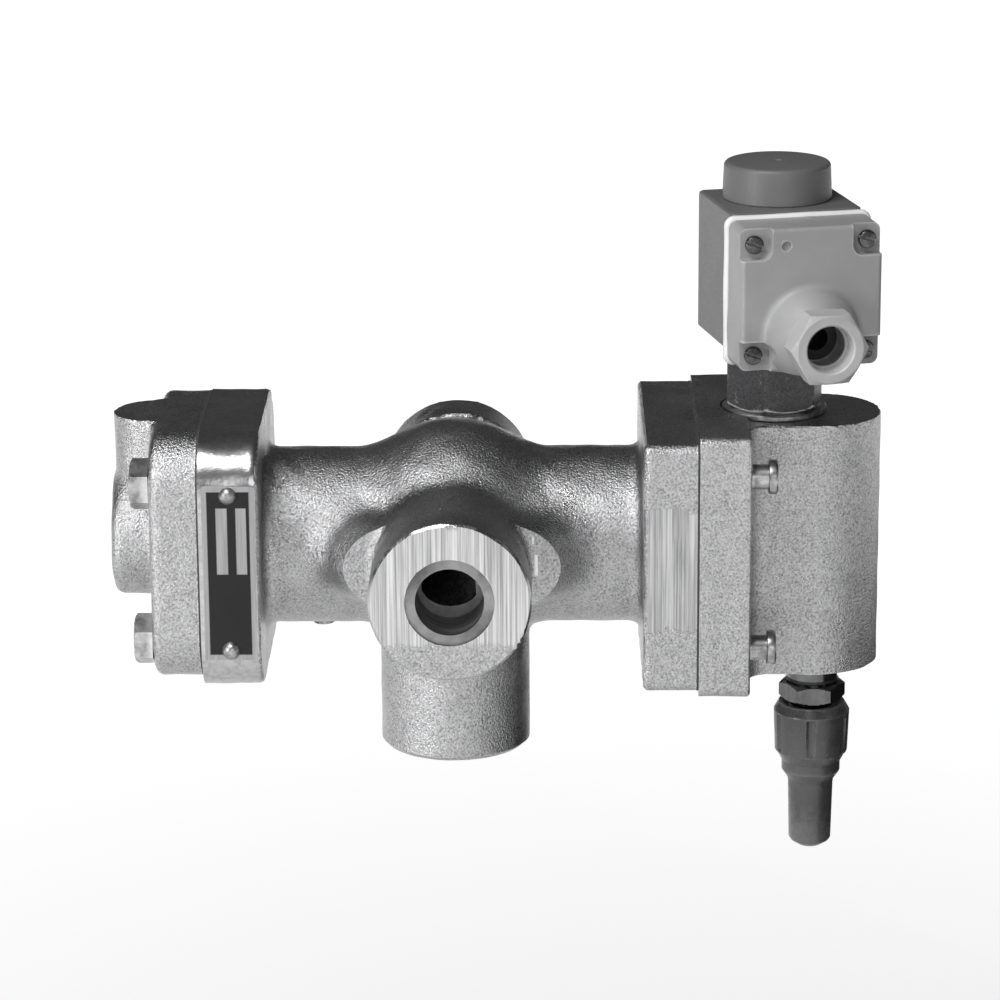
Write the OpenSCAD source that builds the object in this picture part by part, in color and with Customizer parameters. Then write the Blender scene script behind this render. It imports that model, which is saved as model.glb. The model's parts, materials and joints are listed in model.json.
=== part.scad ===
/* [Ports] */
// Reach of the front and rear port faces from the body axis
side_port_reach = 88; // [85:0.5:96]
// Reach of the common port face below the body axis
common_port_reach = 82; // [78:0.5:95]
// Diameter of the collars around the front and rear ports
side_boss_d = 59.4; // [54:0.2:64]
// Diameter of the common port's boss
common_boss_d = 57.2; // [52:0.2:62]
// Length of the collar at each side port
collar_l = 22; // [16:0.5:26]
// Step between a collar and the neck behind it
collar_step = 1.3; // [0.4:0.1:2]
// Bore of the three pipe ports
port_bore_d = 24.9; // [20:0.1:27]
// Depth of the tapped wall in each port
port_bore_l = 21; // [16:0.5:24]
// Diameter of the shallow turned recess around each side port
recess_d = 32.4; // [29:0.1:38]
// Depth of that recess
recess_depth = 1; // [0.4:0.1:1.5]

/* [Body casting] */
// Outside diameter of the through tube
tube_d = 67; // [60:0.5:74]
// Diameter of the central bulge
bulge_d = 88; // [82:0.5:96]
// Main bore through the body
main_bore_d = 40; // [36:0.5:44]
// Distance from the port axis to the left flange face
left_reach = 93; // [92:0.2:104]
// Distance from the port axis to the right flange face
right_reach = 90.4; // [88:0.2:102]
// Diameter of the two drilled side passages
passage_d = 16; // [12:0.5:18]
// Diameter of the cast bulges around the side passages
passage_boss_d = 34; // [28:0.5:38]
// Distance from the port axis to where a passage meets the main bore
passage_reach = 44; // [40:0.5:50]
// Distance of the ground flats on the front bulges from the body axis
ground_flat_reach = 46; // [44:0.5:50]

/* [Left end] */
// Side of the left flange
left_flange_w = 98; // [92:0.5:106]
// Thickness of the left flange
left_flange_t = 22.4; // [18:0.1:24]
// Corner radius of the left flange and cover
left_corner_r = 20; // [14:0.5:24]
// Side of the left cover
left_cover_w = 95; // [88:0.5:98]
// Height of the left cover's middle above the body axis
left_cover_rise = 1.4; // [0:0.1:2]
// Thickness of the left cover's plate
left_cover_t = 17.8; // [14:0.1:20]
// Diameter of the round spring boss
spring_boss_d = 45; // [40:0.5:50]
// Height of the spring boss above its plate
spring_boss_l = 17; // [16:0.1:24]
// Diameter of the upright column
column_d = 32; // [26:0.5:36]
// Height of the column above the body axis
column_top = 47; // [40:0.5:52]
// Distance between the upper and lower left bolts
left_bolt_pitch = 60; // [58:0.5:66]
// Distance between the front and rear left bolts
left_bolt_span = 70; // [64:0.5:72]
// Thread diameter of the left bolts
left_bolt_d = 10; // [8:0.5:11]
// Size across the flats of the left bolt heads
left_bolt_af = 17; // [15:0.5:19]

/* [Right end] */
// Width of the right flange from front to rear
right_flange_w = 100; // [94:0.5:104]
// Height of the right flange
right_flange_h = 95; // [92:0.5:100]
// Thickness of the right flange
right_flange_t = 19.9; // [18:0.1:24]
// Side of the pilot head's plate
head_plate_w = 100; // [96:0.5:108]
// Thickness of the pilot head's plate
head_plate_t = 19.2; // [16:0.1:22]
// Width of the pilot head's upright body
head_body_w = 50; // [49:0.5:58]
// Distance from the plate to the centre of the body's round end
head_body_l = 25.8; // [22:0.1:30]
// Height of the body's top above the body axis
head_top = 48.3; // [46:0.1:54]
// Depth of the body's foot below the body axis
head_foot = 49.6; // [46:0.1:52]
// Distance between the upper and lower right screws
right_bolt_pitch = 66; // [62:0.5:74]
// Distance between the front and rear right screws
right_bolt_span = 79.5; // [76:0.5:82]
// Thread diameter of the right screws
right_bolt_d = 8; // [6:0.5:8.5]
// Diameter of the right screws' collar heads
right_head_d = 12.8; // [10:0.1:13]

/* [Spool] */
// Half the distance between the two seat rings
seat_x = 13; // [12.5:0.1:16]
// Thickness of a seat ring
seat_t = 7; // [5:0.1:9]
// Hole in a seat ring
seat_hole_d = 24; // [20:0.5:26]
// Travel of the spool from seat to seat
spool_stroke = 10; // [6:0.5:11]
// Diameter of the spool stem
stem_d = 8; // [7:0.1:9]
// Diameter of a valve disc
disc_d = 32; // [29:0.5:34]
// Thickness of a valve disc
disc_t = 6; // [4:0.1:8]
// Diameter of the piston's cylinder
cylinder_d = 42; // [40:0.5:43]
// Thickness of the piston
piston_t = 12; // [9:0.1:13]
// Mean diameter of the return spring
return_spring_d = 20; // [19:0.1:21]
// Wire of the return spring
return_wire_d = 2.2; // [1.6:0.1:2.4]

/* [Pilot] */
// Distance from the head's plate to the pilot axis
pilot_offset = 10.5; // [8:0.5:12]
// Size across the flats of the pilot nut
pilot_nut_af = 33; // [30:0.5:36]
// Height of the pilot nut's hexagon
pilot_nut_h = 26.9; // [20:0.1:30]
// Diameter of the bright washer
washer_d = 39; // [38:0.5:46]
// Thickness of the bright washer
washer_t = 2; // [1:0.1:3]
// Thread diameter of the pilot nut's neck
pilot_neck_d = 22; // [20:0.5:24]
// Depth of the threaded hole in the head
pilot_hole_depth = 15; // [12:0.1:17]
// Outside diameter of the armature tube
tube_od = 14; // [13:0.1:15]
// Wall of the armature tube
tube_wall = 0.9; // [0.6:0.05:1.1]
// Lift of the armature
armature_lift = 2.5; // [1.5:0.1:3]
// Hole in the pilot nozzle
nozzle_d = 2.4; // [1.5:0.1:3]

/* [Coil] */
// Turn of the coil about the tube, in degrees
coil_turn = 13; // [-180:1:180]
// Width of the coil housing
coil_w = 50; // [49:0.5:56]
// Depth of the housing behind the tube axis
coil_back = 20.5; // [20.5:0.5:27]
// Depth of the housing in front of the tube axis
coil_front = 26; // [25.5:0.5:30]
// Height of the coil housing
coil_h = 52; // [48:0.5:58]
// Diameter of the round cap
cap_d = 40.6; // [36:0.2:44]
// Height of the round cap
cap_h = 14; // [12:0.5:18]
// Width of the terminal cover
cover_w = 53; // [52:0.5:58]
// Height of the terminal cover
cover_h = 53; // [50:0.5:58]
// Depth of the terminal cover
cover_depth = 18.6; // [11.5:0.1:20]
// Thickness of the pale rim gasket
rim_t = 1.6; // [1:0.1:2]
// Size across the flats of the gland nut
gland_af = 25.3; // [24:0.1:28]
// Cable hole in the gland nut
gland_hole_d = 17; // [14:0.1:18]
// Length of the gland nut
gland_l = 12; // [11:0.1:16]
// Height of the cable hub above the cover's lower edge
gland_rise = 13; // [12:0.5:20]

/* [Drain fitting] */
// Distance from the head's plate to the drain axis
drain_offset = 26.4; // [23:0.2:28]
// Diameter of the adapter's nipple
nipple_d = 19.2; // [16:0.1:21]
// Height of the nipple
nipple_h = 9.5; // [8:0.1:14]
// Size across the flats of the adapter
adapter_af = 22; // [20:0.1:24]
// Height of the adapter's hexagon
adapter_h = 7.2; // [6:0.1:10]
// Diameter of the ribbed cap
drain_cap_d = 29; // [27:0.1:32]
// Height of the cap's ribbed part
ribbed_h = 20; // [17:0.1:24]
// Diameter of the cap's lower sleeve
sleeve_d = 17.6; // [16:0.1:19]
// Length of the cap's lower sleeve
sleeve_l = 26; // [22:0.1:34]

/* [Fasteners and trim] */
// Length of the nameplate
plate_l = 66.7; // [60:0.1:68]
// Width of the nameplate
plate_w = 19.3; // [15:0.1:20]
// Thickness of the nameplate
plate_t = 0.9; // [0.5:0.1:1.5]
// Thickness of the two flat gaskets
gasket_t = 0.8; // [0.5:0.1:1.5]

/* [Clearances] */
// Radial running clearance of turning and sliding pieces
run_gap = 0.05; // [0.02:0.01:0.08]
// Radial gap around fixed screws and pressed pieces
fit_gap = 0.03; // [0.01:0.01:0.1]
// Radial gap of a bolt in its clearance hole
bolt_gap = 0.25; // [0.15:0.05:0.4]
// Gap that is left where moving faces meet
face_gap = 0.2; // [0.1:0.05:0.3]

/* [Hidden] */
$fn = 64;

// Colours of the finishes
cast_colour = [0.66, 0.67, 0.68];
ground_colour = [0.78, 0.79, 0.8];
bright_colour = [0.82, 0.82, 0.83];
dark_colour = [0.27, 0.27, 0.28];
housing_colour = [0.4, 0.4, 0.41];
cover_colour = [0.6, 0.6, 0.61];
pale_colour = [0.88, 0.88, 0.86];
soft_colour = [0.1, 0.1, 0.11];
brass_colour = [0.76, 0.62, 0.34];
copper_colour = [0.66, 0.36, 0.2];

// Small overlap that lets a cut run past a face
past = 1;

// Broken edge of the machined port faces
edge = 0.8;

// Size of a block that cuts everything on one side of a plane
cut_size = 200;

// Steps per turn and sides of the wire of a large and a small spring
spring_steps = 20;
spring_sides = 8;
small_spring_steps = 14;
small_spring_sides = 6;

// Ports and passages
neck_d = side_boss_d - 2 * collar_step;
side_bore_start = side_port_reach - recess_depth;
side_bore_end = side_bore_start - port_bore_l;
common_passage_d = min(port_bore_d - 3, 2 * seat_x - 4);
passage_angle = atan2(passage_reach, side_bore_end - main_bore_d * 0.4);
passage_l = passage_reach / sin(passage_angle);
drain_pad_d = 8.4;
drain_pad_x = -50;
drain_pad_h = 1.6;

// Left end
left_seat_x = -left_reach - gasket_t;
left_plate_x = left_seat_x - left_cover_t;
left_boss_x = left_plate_x - spring_boss_l;
left_bevel = 1.5;
left_boss_round = 4;
column_inset = 0.8;
column_x = left_boss_x + column_inset + column_d / 2;
left_bolt_head_h = left_bolt_d * 0.7;
left_hole_floor = 2;
left_bolt_l = left_flange_t - left_hole_floor - 1 + gasket_t + left_cover_t;
guide_d = return_spring_d + 8;
guide_t = 8;
guide_inset = 0.4;
guide_seat_x = left_seat_x - guide_t - guide_inset;
stem_room_d = stem_d + 4;
stem_end_l = 6;
stem_left_x = guide_seat_x - stem_end_l;
stem_room_x = stem_left_x - spool_stroke - stem_end_l / 2;

// Right end
right_seat_x = right_reach + gasket_t;
head_plate_x = right_seat_x + head_plate_t;
head_round_x = head_plate_x + head_body_l;
head_body_r = head_body_w / 2;
head_plate_r = 4;
head_plate_bevel = 1.5;
head_root = 5;
cylinder_end_l = 5;
cylinder_end_x = head_round_x + cylinder_end_l;
right_screw_neck_d = right_bolt_d + 2 * bolt_gap + 0.7;
right_screw_neck_l = 6.3;
right_screw_head_h = 3.4;
right_screw_socket_af = right_head_d * 0.5;
right_hole_floor = 3;
right_bolt_l = right_flange_t - right_hole_floor - 1 + gasket_t + head_plate_t;

// Spool, placed with the left disc on its seat
seat_face_x = seat_x + seat_t;
disc_left_x = -seat_face_x - face_gap;
disc_right_x = seat_face_x + face_gap + spool_stroke;
backing_t = 3;
backing_d = disc_d - 5;
nut_af = stem_d + 5;
nut_h = 6;
backing_left_x = disc_left_x - disc_t;
backing_right_x = disc_right_x + disc_t;
disc_nut_left_x = backing_left_x - backing_t - nut_h;
disc_nut_right_x = backing_right_x + backing_t;
spring_left_x = left_seat_x - guide_inset + face_gap;
spring_right_x = backing_left_x - backing_t - face_gap;
bush_t = 14;
bush_x = right_reach - bush_t;
seal_groove_t = 3;
seal_groove_d = stem_d + 6;
piston_x = right_reach + spool_stroke + nut_h + 0.5;
piston_nut_right_x = piston_x + piston_t;
stem_right_x = piston_nut_right_x + nut_h + 1.5;
ring_t = 2.9;
ring_groove_d = cylinder_d - 5;

// Pilot
pilot_x = head_plate_x + pilot_offset;
pilot_floor_z = head_top - pilot_hole_depth;
pilot_seal_t = 1.2;
flange_t = 3;
flange_z = pilot_floor_z + pilot_seal_t;
tube_flange_d = pilot_neck_d - 4;
nut_seat_z = head_top + washer_t;
spot_face_d = max(washer_d, pilot_nut_af / cos(30)) + 2;
pilot_nut_top = nut_seat_z + pilot_nut_h;
pilot_nut_turn = 17;
nozzle_rise = 1.6;
nozzle_top = pilot_floor_z + nozzle_rise;
nozzle_body_d = 8;
nozzle_body_h = 4;
tube_id = tube_od - 2 * tube_wall;
armature_d = tube_id - 2 * run_gap;
tip_d = 6;
tip_t = 2.5;
armature_z = nozzle_top + face_gap;
coil_rest_gap = 0.3;
coil_z = pilot_nut_top + coil_rest_gap;
coil_top = coil_z + coil_h;
tube_inset = 2;
tube_top = coil_top - tube_inset;
tube_roof = 1.2;
core_l = 23;
core_z = tube_top - core_l;
armature_top = core_z - face_gap - armature_lift;
tip_inset = 0.4;
spring_pocket_d = 7.4;
spring_pocket_h = 12;
armature_spring_d = 5.8;
armature_wire_d = 0.9;
feed_d = 4;
feed_riser_d = 2.4;
feed_wall = 0.6;
feed_riser_x = pilot_x - nozzle_body_d / 2 - feed_wall - feed_riser_d / 2;
feed_drill_l = 26;
feed_seat_z = cylinder_d / 2 + 6;
seal_hole_d = nozzle_body_d + 7;

// Coil, in its own frame: the tube on the Z axis and the cover towards -Y
coil_corner_r = 3;
housing_wall = 4;
coil_room_z = coil_z + 3;
coil_room_top = coil_top - 2.5;
coil_room_w = coil_w - 2 * housing_wall;
coil_room_y = coil_back - housing_wall;
yoke_t = 3;
coil_hole_d = tube_od + 2 * run_gap;
bobbin_d = tube_od + 4;
bobbin_flange_d = min(coil_room_w - 2 * yoke_t, 2 * coil_room_y) - 1;
bobbin_flange_t = 2;
yoke_inner_z = coil_room_z + yoke_t;
yoke_inner_top = coil_room_top - yoke_t;
winding_d = bobbin_flange_d - 2;
rim_y = -coil_front - rim_t;
cover_y = rim_y - cover_depth;
cover_mid_z = coil_z + coil_h / 2 - 2.2;
cover_foot_z = cover_mid_z - cover_h / 2;
cover_wall = 2;
cover_r = 2.5;
cover_taper = 0.2;
cover_edge = 0.8;
rim_overhang = 0.4;
screw_square = 11.4;
screw_corner_r = 4;
screw_inset_x = 5.3;
screw_inset_z = 6;
screw_recess = 3.6;
screw_x = cover_w / 2 - screw_inset_x;
screw_z = cover_h / 2 - screw_inset_z;
screw_shank_d = 3.5;
screw_head_d = 6.6;
screw_head_h = 2.4;
screw_depth = 6;
slot_w = 1;
slot_depth = 1;
slot_turn = 20;
gland_z = cover_foot_z + gland_rise;
hub_d = 35;
hub_neck_d = gland_af - 1.2;
hub_h = 11.6;
hub_bore_d = gland_hole_d - 1;
gland_seat_y = cover_y - hub_h;
gland_neck_d = gland_hole_d + 2.6;
gland_neck_l = gland_l * 0.5;
gland_floor_gap = 0.3;
gland_floor_y = gland_seat_y + gland_neck_l + gland_floor_gap;
block_w = 28;
block_h = 14;
block_t = 8;
block_z = cover_mid_z + cover_h / 2 - screw_square - cover_wall - block_h / 2 - 1;
terminal_pitch = 9;
terminal_screw_d = 2.5;
terminal_head_d = 5;
terminal_head_h = 1.2;
terminal_depth = 4;
cap_wall = 4;
cap_roof = 5;
cap_dimple_d = 3;

// Drain fitting
drain_x = head_plate_x + drain_offset;
drain_thread_d = 13;
drain_thread_l = 12;
nipple_z = -head_foot - nipple_h;
adapter_z = nipple_z - adapter_h;
adapter_neck_d = 16;
adapter_neck_l = 17;
adapter_end_z = adapter_z - adapter_neck_l;
core_pin_d = 3;
core_pin_inset = 0.8;
core_bore_d = 6;
core_head_d = core_bore_d - 2 * run_gap;
core_shoulder_t = 4;
core_seat_z = adapter_end_z + core_shoulder_t;
core_head_h = 4;
core_spring_d = 4.6;
core_wire_d = 0.8;
core_spring_l = 12;
core_spring_z = core_seat_z + core_head_h + face_gap;
core_spring_top = core_spring_z + core_spring_l;
retainer_t = 3;
cap_top_gap = 1.1;
cap_top_z = adapter_z - cap_top_gap;
cap_ledge_h = 3.4;
cap_ledge_z = cap_top_z - cap_ledge_h;
cap_rib_l = ribbed_h - 3;
cap_rib_z = cap_ledge_z - cap_rib_l;
cap_bore_d = adapter_neck_d + 2 * run_gap;
cap_seat_z = adapter_end_z - face_gap;
cap_mid_d = drain_cap_d * 0.77;
cap_mid_l = 4.7;
cap_taper_l = 2.7;
cap_mid_z = cap_rib_z - cap_taper_l;
cap_mid_end_z = cap_mid_z - cap_mid_l;
sleeve_top_z = cap_mid_end_z - cap_taper_l;
sleeve_end_z = sleeve_top_z - sleeve_l;
rib_count = 6;
rib_turn = 26;
rib_groove_d = 4.4;
rib_groove_depth = 1.3;
sleeve_floor_t = 6;
sleeve_tip_h = 2.5;
cap_seal_t = 1.5;

// Nameplate
plate_x = -left_reach + left_flange_t / 2;
plate_y = -left_flange_w / 2;
plate_z = -0.5;
drive_d = 3;
drive_head_d = 6.7;
drive_l = 5;
drive_margin = 3.6;
drive_z = plate_l / 2 - drive_margin;
plate_corner_r = 0.8;

// Puts a piece at the height of the body axis
module at_axis() {
    translate([0, 0, common_port_reach]) children();
}

// Puts a piece on the pilot tube, turned as the coil is
module at_coil() {
    at_axis() translate([pilot_x, 0, 0]) rotate([0, 0, coil_turn]) children();
}

// Puts a piece on the drain axis
module at_drain() {
    at_axis() translate([drain_x, 0, 0]) children();
}

// Round rod along X
module rod_x(d, x0, x1) {
    translate([x0, 0, 0]) rotate([0, 90, 0]) cylinder(d = d, h = x1 - x0);
}

// Round rod along Y
module rod_y(d, y0, y1) {
    translate([0, y0, 0]) rotate([-90, 0, 0]) cylinder(d = d, h = y1 - y0);
}

// Round rod along Z
module rod_z(d, z0, z1) {
    translate([0, 0, z0]) cylinder(d = d, h = z1 - z0);
}

// Cone along Z, with a diameter at each end
module cone_z(d0, d1, z0, z1) {
    translate([0, 0, z0]) cylinder(d1 = d0, d2 = d1, h = z1 - z0);
}

// Hexagonal rod along Z, with its corners on a circle worked out from the flats
module hex_z(af, z0, z1) {
    translate([0, 0, z0]) cylinder(d = af / cos(30), h = z1 - z0, $fn = 6);
}

// Hexagonal rod along X
module hex_x(af, x0, x1) {
    translate([x0, 0, 0]) rotate([0, 90, 0]) cylinder(d = af / cos(30), h = x1 - x0, $fn = 6);
}

// Flat ring along X
module ring_x(d, hole_d, x0, x1) {
    difference() {
        rod_x(d, x0, x1);
        rod_x(hole_d, x0 - past, x1 + past);
    }
}

// Flat ring along Z
module ring_z(d, hole_d, z0, z1) {
    difference() {
        rod_z(d, z0, z1);
        rod_z(hole_d, z0 - past, z1 + past);
    }
}

// Square with round corners
module round_square(w, h, r) {
    square([w - 2 * r, h], center = true);
    square([w, h - 2 * r], center = true);
    for (x = [-1, 1], y = [-1, 1]) translate([x * (w / 2 - r), y * (h / 2 - r)]) circle(r = r);
}

// Plate with round corners, square to X
module slab_x(w, h, r, x0, x1) {
    translate([x0, 0, 0]) rotate([90, 0, 90]) linear_extrude(x1 - x0) round_square(w, h, r);
}

// Plate with round corners, square to Y and centred at height z
module slab_y(w, h, r, y0, y1, z) {
    translate([0, y1, z]) rotate([90, 0, 0]) linear_extrude(y1 - y0) round_square(w, h, r);
}

// Copies a piece to the four corners of a rectangle that faces X
module four_x(span, pitch) {
    for (y = [-1, 1], z = [-1, 1]) translate([0, y * span / 2, z * pitch / 2]) children();
}

// Centre line of a coil spring: a helix whose first and last turns lie nearly closed
function spring_rise(t, turns, wire, h) =
    let (dead = min(1, t * turns), last = max(0, (t * turns) - turns + 1), tight = wire * 1.12,
         free = (h - 2 * tight) / (turns - 2))
    dead * tight + last * tight + (t * turns - dead - last) * free;

// Coil spring along Z as a tube swept on its helix
module coil_spring(d, wire, z0, z1, turns, steps, sides) {
    h = z1 - z0 - wire;
    count = turns * steps;
    points = [
        for (i = [0 : count], k = [0 : sides - 1])
            let (a = i * 360 / steps, b = k * 360 / sides, r = d / 2 + wire / 2 * cos(b))
            [r * cos(a), r * sin(a),
                z0 + wire / 2 + spring_rise(i / count, turns, wire, h) + wire / 2 * sin(b)]
    ];
    side_faces = [
        for (i = [0 : count - 1], k = [0 : sides - 1])
            let (n = (k + 1) % sides)
            each [
                [i * sides + k, (i + 1) * sides + k, (i + 1) * sides + n],
                [i * sides + k, (i + 1) * sides + n, i * sides + n]
            ]
    ];
    first = [for (k = [0 : sides - 1]) k];
    final = [for (k = [sides - 1 : -1 : 0]) count * sides + k];
    polyhedron(points, concat([first, final], side_faces));
}

// Boss of one side port: the collar with its broken edge, and the neck behind it
module side_boss(side) {
    mirror([0, side > 0 ? 0 : 1, 0]) {
        rod_y(neck_d, 0, side_port_reach - collar_l / 2);
        rod_y(side_boss_d, side_port_reach - collar_l, side_port_reach - edge);
        translate([0, side_port_reach - edge, 0]) rotate([-90, 0, 0])
            cylinder(d1 = side_boss_d, d2 = side_boss_d - 2 * edge, h = edge);
    }
}

// Boss of the common port, bevelled at its mouth
module common_boss() {
    rod_z(common_boss_d, 2 * edge - common_port_reach, 0);
    translate([0, 0, -common_port_reach])
        cylinder(d1 = common_boss_d - 4 * edge, d2 = common_boss_d, h = 2 * edge);
}

// Line of a side passage, from the end of the port bore to the main bore
module passage_line(sx, sy, d) {
    mirror([sx > 0 ? 0 : 1, 0, 0]) mirror([0, sy > 0 ? 0 : 1, 0])
    translate([0, side_bore_end, 0]) rotate([0, 90, passage_angle - 90]) cylinder(d = d, h = passage_l);
}

// Cast bulge around a side passage, ground flat where it faces the front
module passage_boss(sx, sy) {
    difference() {
        passage_line(sx, sy, passage_boss_d);
        if (sy < 0) translate([0, -ground_flat_reach - cut_size / 2, 0]) cube(cut_size, center = true);
    }
}

module valve_body() {
    color(cast_colour) at_axis() difference() {
        union() {
            rod_x(tube_d, -left_reach + left_flange_t / 2, right_reach - right_flange_t / 2);
            sphere(d = bulge_d);
            side_boss(-1);
            side_boss(1);
            common_boss();
            for (sx = [-1, 1], sy = [-1, 1]) passage_boss(sx, sy);
            slab_x(left_flange_w, left_flange_w, left_corner_r, -left_reach, -left_reach + left_flange_t);
            slab_x(right_flange_w, right_flange_h, head_plate_r,
                right_reach - right_flange_t, right_reach);
            translate([drain_pad_x, 0, 0]) rod_z(drain_pad_d, -tube_d / 2 - drain_pad_h, -tube_d / 4);
        }
        rod_x(main_bore_d, -left_reach - past, right_reach + past);
        for (side = [-1, 1]) mirror([0, side > 0 ? 0 : 1, 0]) {
            rod_y(recess_d, side_bore_start, side_port_reach + past);
            rod_y(port_bore_d, side_bore_end, side_port_reach + past);
        }
        passage_line(-1, -1, passage_d);
        passage_line(1, 1, passage_d);
        rod_z(port_bore_d, -common_port_reach - past, -common_port_reach + port_bore_l);
        rod_z(common_passage_d, -common_port_reach, 0);
        four_x(left_bolt_span, left_bolt_pitch)
            rod_x(left_bolt_d + 2 * fit_gap, -left_reach - past,
                -left_reach + left_flange_t - left_hole_floor);
        four_x(right_bolt_span, right_bolt_pitch)
            rod_x(right_bolt_d + 2 * fit_gap, right_reach - right_flange_t + right_hole_floor,
                right_reach + past);
        pilot_feed();
        for (z = [-1, 1]) translate([plate_x, 0, plate_z + z * drive_z])
            rod_y(drive_d + 2 * fit_gap, plate_y - past, plate_y + drive_l + 1);
    }
}

// Drilled way from the right chamber through the flange to the floor of the pilot hole
module pilot_feed() {
    translate([right_seat_x, 0, feed_seat_z]) rotate([0, -120, 0]) cylinder(d = feed_d, h = feed_drill_l);
    translate([0, 0, feed_seat_z]) rod_x(feed_d, right_seat_x - past, feed_riser_x + feed_d / 2);
    translate([feed_riser_x, 0, 0]) rod_z(feed_riser_d, feed_seat_z, pilot_floor_z + past);
}

module nameplate() {
    color(soft_colour) at_axis() translate([plate_x, 0, 0]) difference() {
        slab_y(plate_w, plate_l, plate_corner_r, plate_y - plate_t, plate_y, plate_z);
        for (z = [-1, 1]) translate([0, 0, plate_z + z * drive_z])
            rod_y(drive_d + 2 * fit_gap, plate_y - plate_t - past, plate_y + past);
    }
}

// Drive screw: a round head on a plain shank
module nameplate_screws() {
    head_r = drive_head_d / 2;
    head_h = head_r * 0.7;
    ball_r = (head_r * head_r + head_h * head_h) / (2 * head_h);
    color(bright_colour) at_axis() for (z = [-1, 1])
        translate([plate_x, plate_y - plate_t, plate_z + z * drive_z]) {
            rotate([90, 0, 0]) difference() {
                translate([0, 0, head_h - ball_r]) sphere(r = ball_r);
                translate([0, 0, -cut_size / 2]) cube(cut_size, center = true);
            }
            rod_y(drive_d, 0, drive_l + plate_t);
        }
}

// Seat ring in the main bore, with its inner face at x0
module seat_ring(x0) {
    color(brass_colour) at_axis()
        ring_x(main_bore_d - 2 * fit_gap, seat_hole_d, x0, x0 + seat_t);
}

module seat_ring_left() {
    seat_ring(-seat_face_x);
}

module seat_ring_right() {
    seat_ring(seat_x);
}

module left_gasket() {
    color(soft_colour) at_axis() difference() {
        translate([0, 0, left_cover_rise])
            slab_x(left_cover_w, left_cover_w, left_corner_r, left_seat_x, -left_reach);
        rod_x(main_bore_d, left_seat_x - past, -left_reach + past);
        four_x(left_bolt_span, left_bolt_pitch) rod_x(left_bolt_d + 2 * bolt_gap, left_seat_x - past, -left_reach + past);
    }
}

// Plate of the left cover: two stacked outlines that form the bevelled outer edge
module left_cover_plate() {
    hull() {
        slab_x(left_cover_w, left_cover_w, left_corner_r, left_plate_x + left_bevel, left_seat_x, $fn = 32);
        slab_x(left_cover_w - 2 * left_bevel, left_cover_w - 2 * left_bevel,
            left_corner_r - left_bevel, left_plate_x, left_seat_x, $fn = 32);
    }
}

// Round boss with a rolled edge
module spring_boss() {
    r = spring_boss_d / 2;
    inner = r - left_boss_round;
    translate([left_boss_x, 0, 0]) rotate([0, 90, 0]) {
        translate([0, 0, left_boss_round]) cylinder(r = r, h = spring_boss_l);
        cylinder(r = inner, h = spring_boss_l);
        translate([0, 0, left_boss_round]) rotate_extrude() translate([inner, 0]) difference() {
            circle(r = left_boss_round);
            translate([-2 * left_boss_round, -left_boss_round]) square(2 * left_boss_round);
        }
    }
}

module left_cover() {
    color(cast_colour) at_axis() difference() {
        union() {
            translate([0, 0, left_cover_rise]) left_cover_plate();
            spring_boss();
            translate([column_x, 0, 0]) {
                rod_z(column_d, 0, column_top - edge);
                cone_z(column_d, column_d - 2 * edge, column_top - edge, column_top);
            }
        }
        rod_x(guide_d, guide_seat_x, left_seat_x + past);
        rod_x(stem_room_d, stem_room_x, left_seat_x);
        four_x(left_bolt_span, left_bolt_pitch) {
            rod_x(left_bolt_d + 2 * bolt_gap, left_plate_x - past, left_seat_x + past);
            rod_x(left_bolt_af / cos(30) + 2, left_plate_x - 20, left_plate_x);
        }
    }
}

module left_cover_bolts() {
    color(bright_colour) at_axis() four_x(left_bolt_span, left_bolt_pitch) {
        rod_x(left_bolt_d, left_plate_x - past, left_plate_x + left_bolt_l);
        hex_x(left_bolt_af, left_plate_x - left_bolt_head_h, left_plate_x);
    }
}

module stem_guide_left() {
    color(brass_colour) at_axis()
        ring_x(guide_d - 2 * fit_gap, stem_d + 2 * run_gap, guide_seat_x, left_seat_x - guide_inset);
}

module return_spring() {
    color(bright_colour) at_axis() rotate([0, 90, 0])
        coil_spring(return_spring_d, return_wire_d, spring_left_x, spring_right_x,
            9, spring_steps, spring_sides);
}

module right_gasket() {
    color(soft_colour) at_axis() difference() {
        slab_x(right_flange_w, right_flange_h, head_plate_r, right_reach, right_seat_x);
        rod_x(cylinder_d, right_reach - past, right_seat_x + past);
        translate([0, 0, feed_seat_z]) rod_x(feed_d + 2, right_reach - past, right_seat_x + past);
        four_x(right_bolt_span, right_bolt_pitch)
            rod_x(right_bolt_d + 2 * bolt_gap, right_reach - past, right_seat_x + past);
    }
}

// Plate of the pilot head with its small bevel
module head_plate() {
    hull() {
        slab_x(head_plate_w, head_plate_w, head_plate_r,
            right_seat_x, head_plate_x - head_plate_bevel, $fn = 32);
        slab_x(head_plate_w - 2 * head_plate_bevel, head_plate_w - 2 * head_plate_bevel,
            head_plate_r - head_plate_bevel, right_seat_x, head_plate_x, $fn = 32);
    }
}

// Upright D-shaped body of the pilot head, rooted in its plate
module head_body() {
    translate([0, 0, -head_foot]) linear_extrude(head_foot + head_top) {
        translate([head_round_x, 0]) circle(r = head_body_r);
        translate([head_plate_x - head_root, -head_body_r])
            square([head_body_l + head_root, head_body_w]);
    }
}

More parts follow.
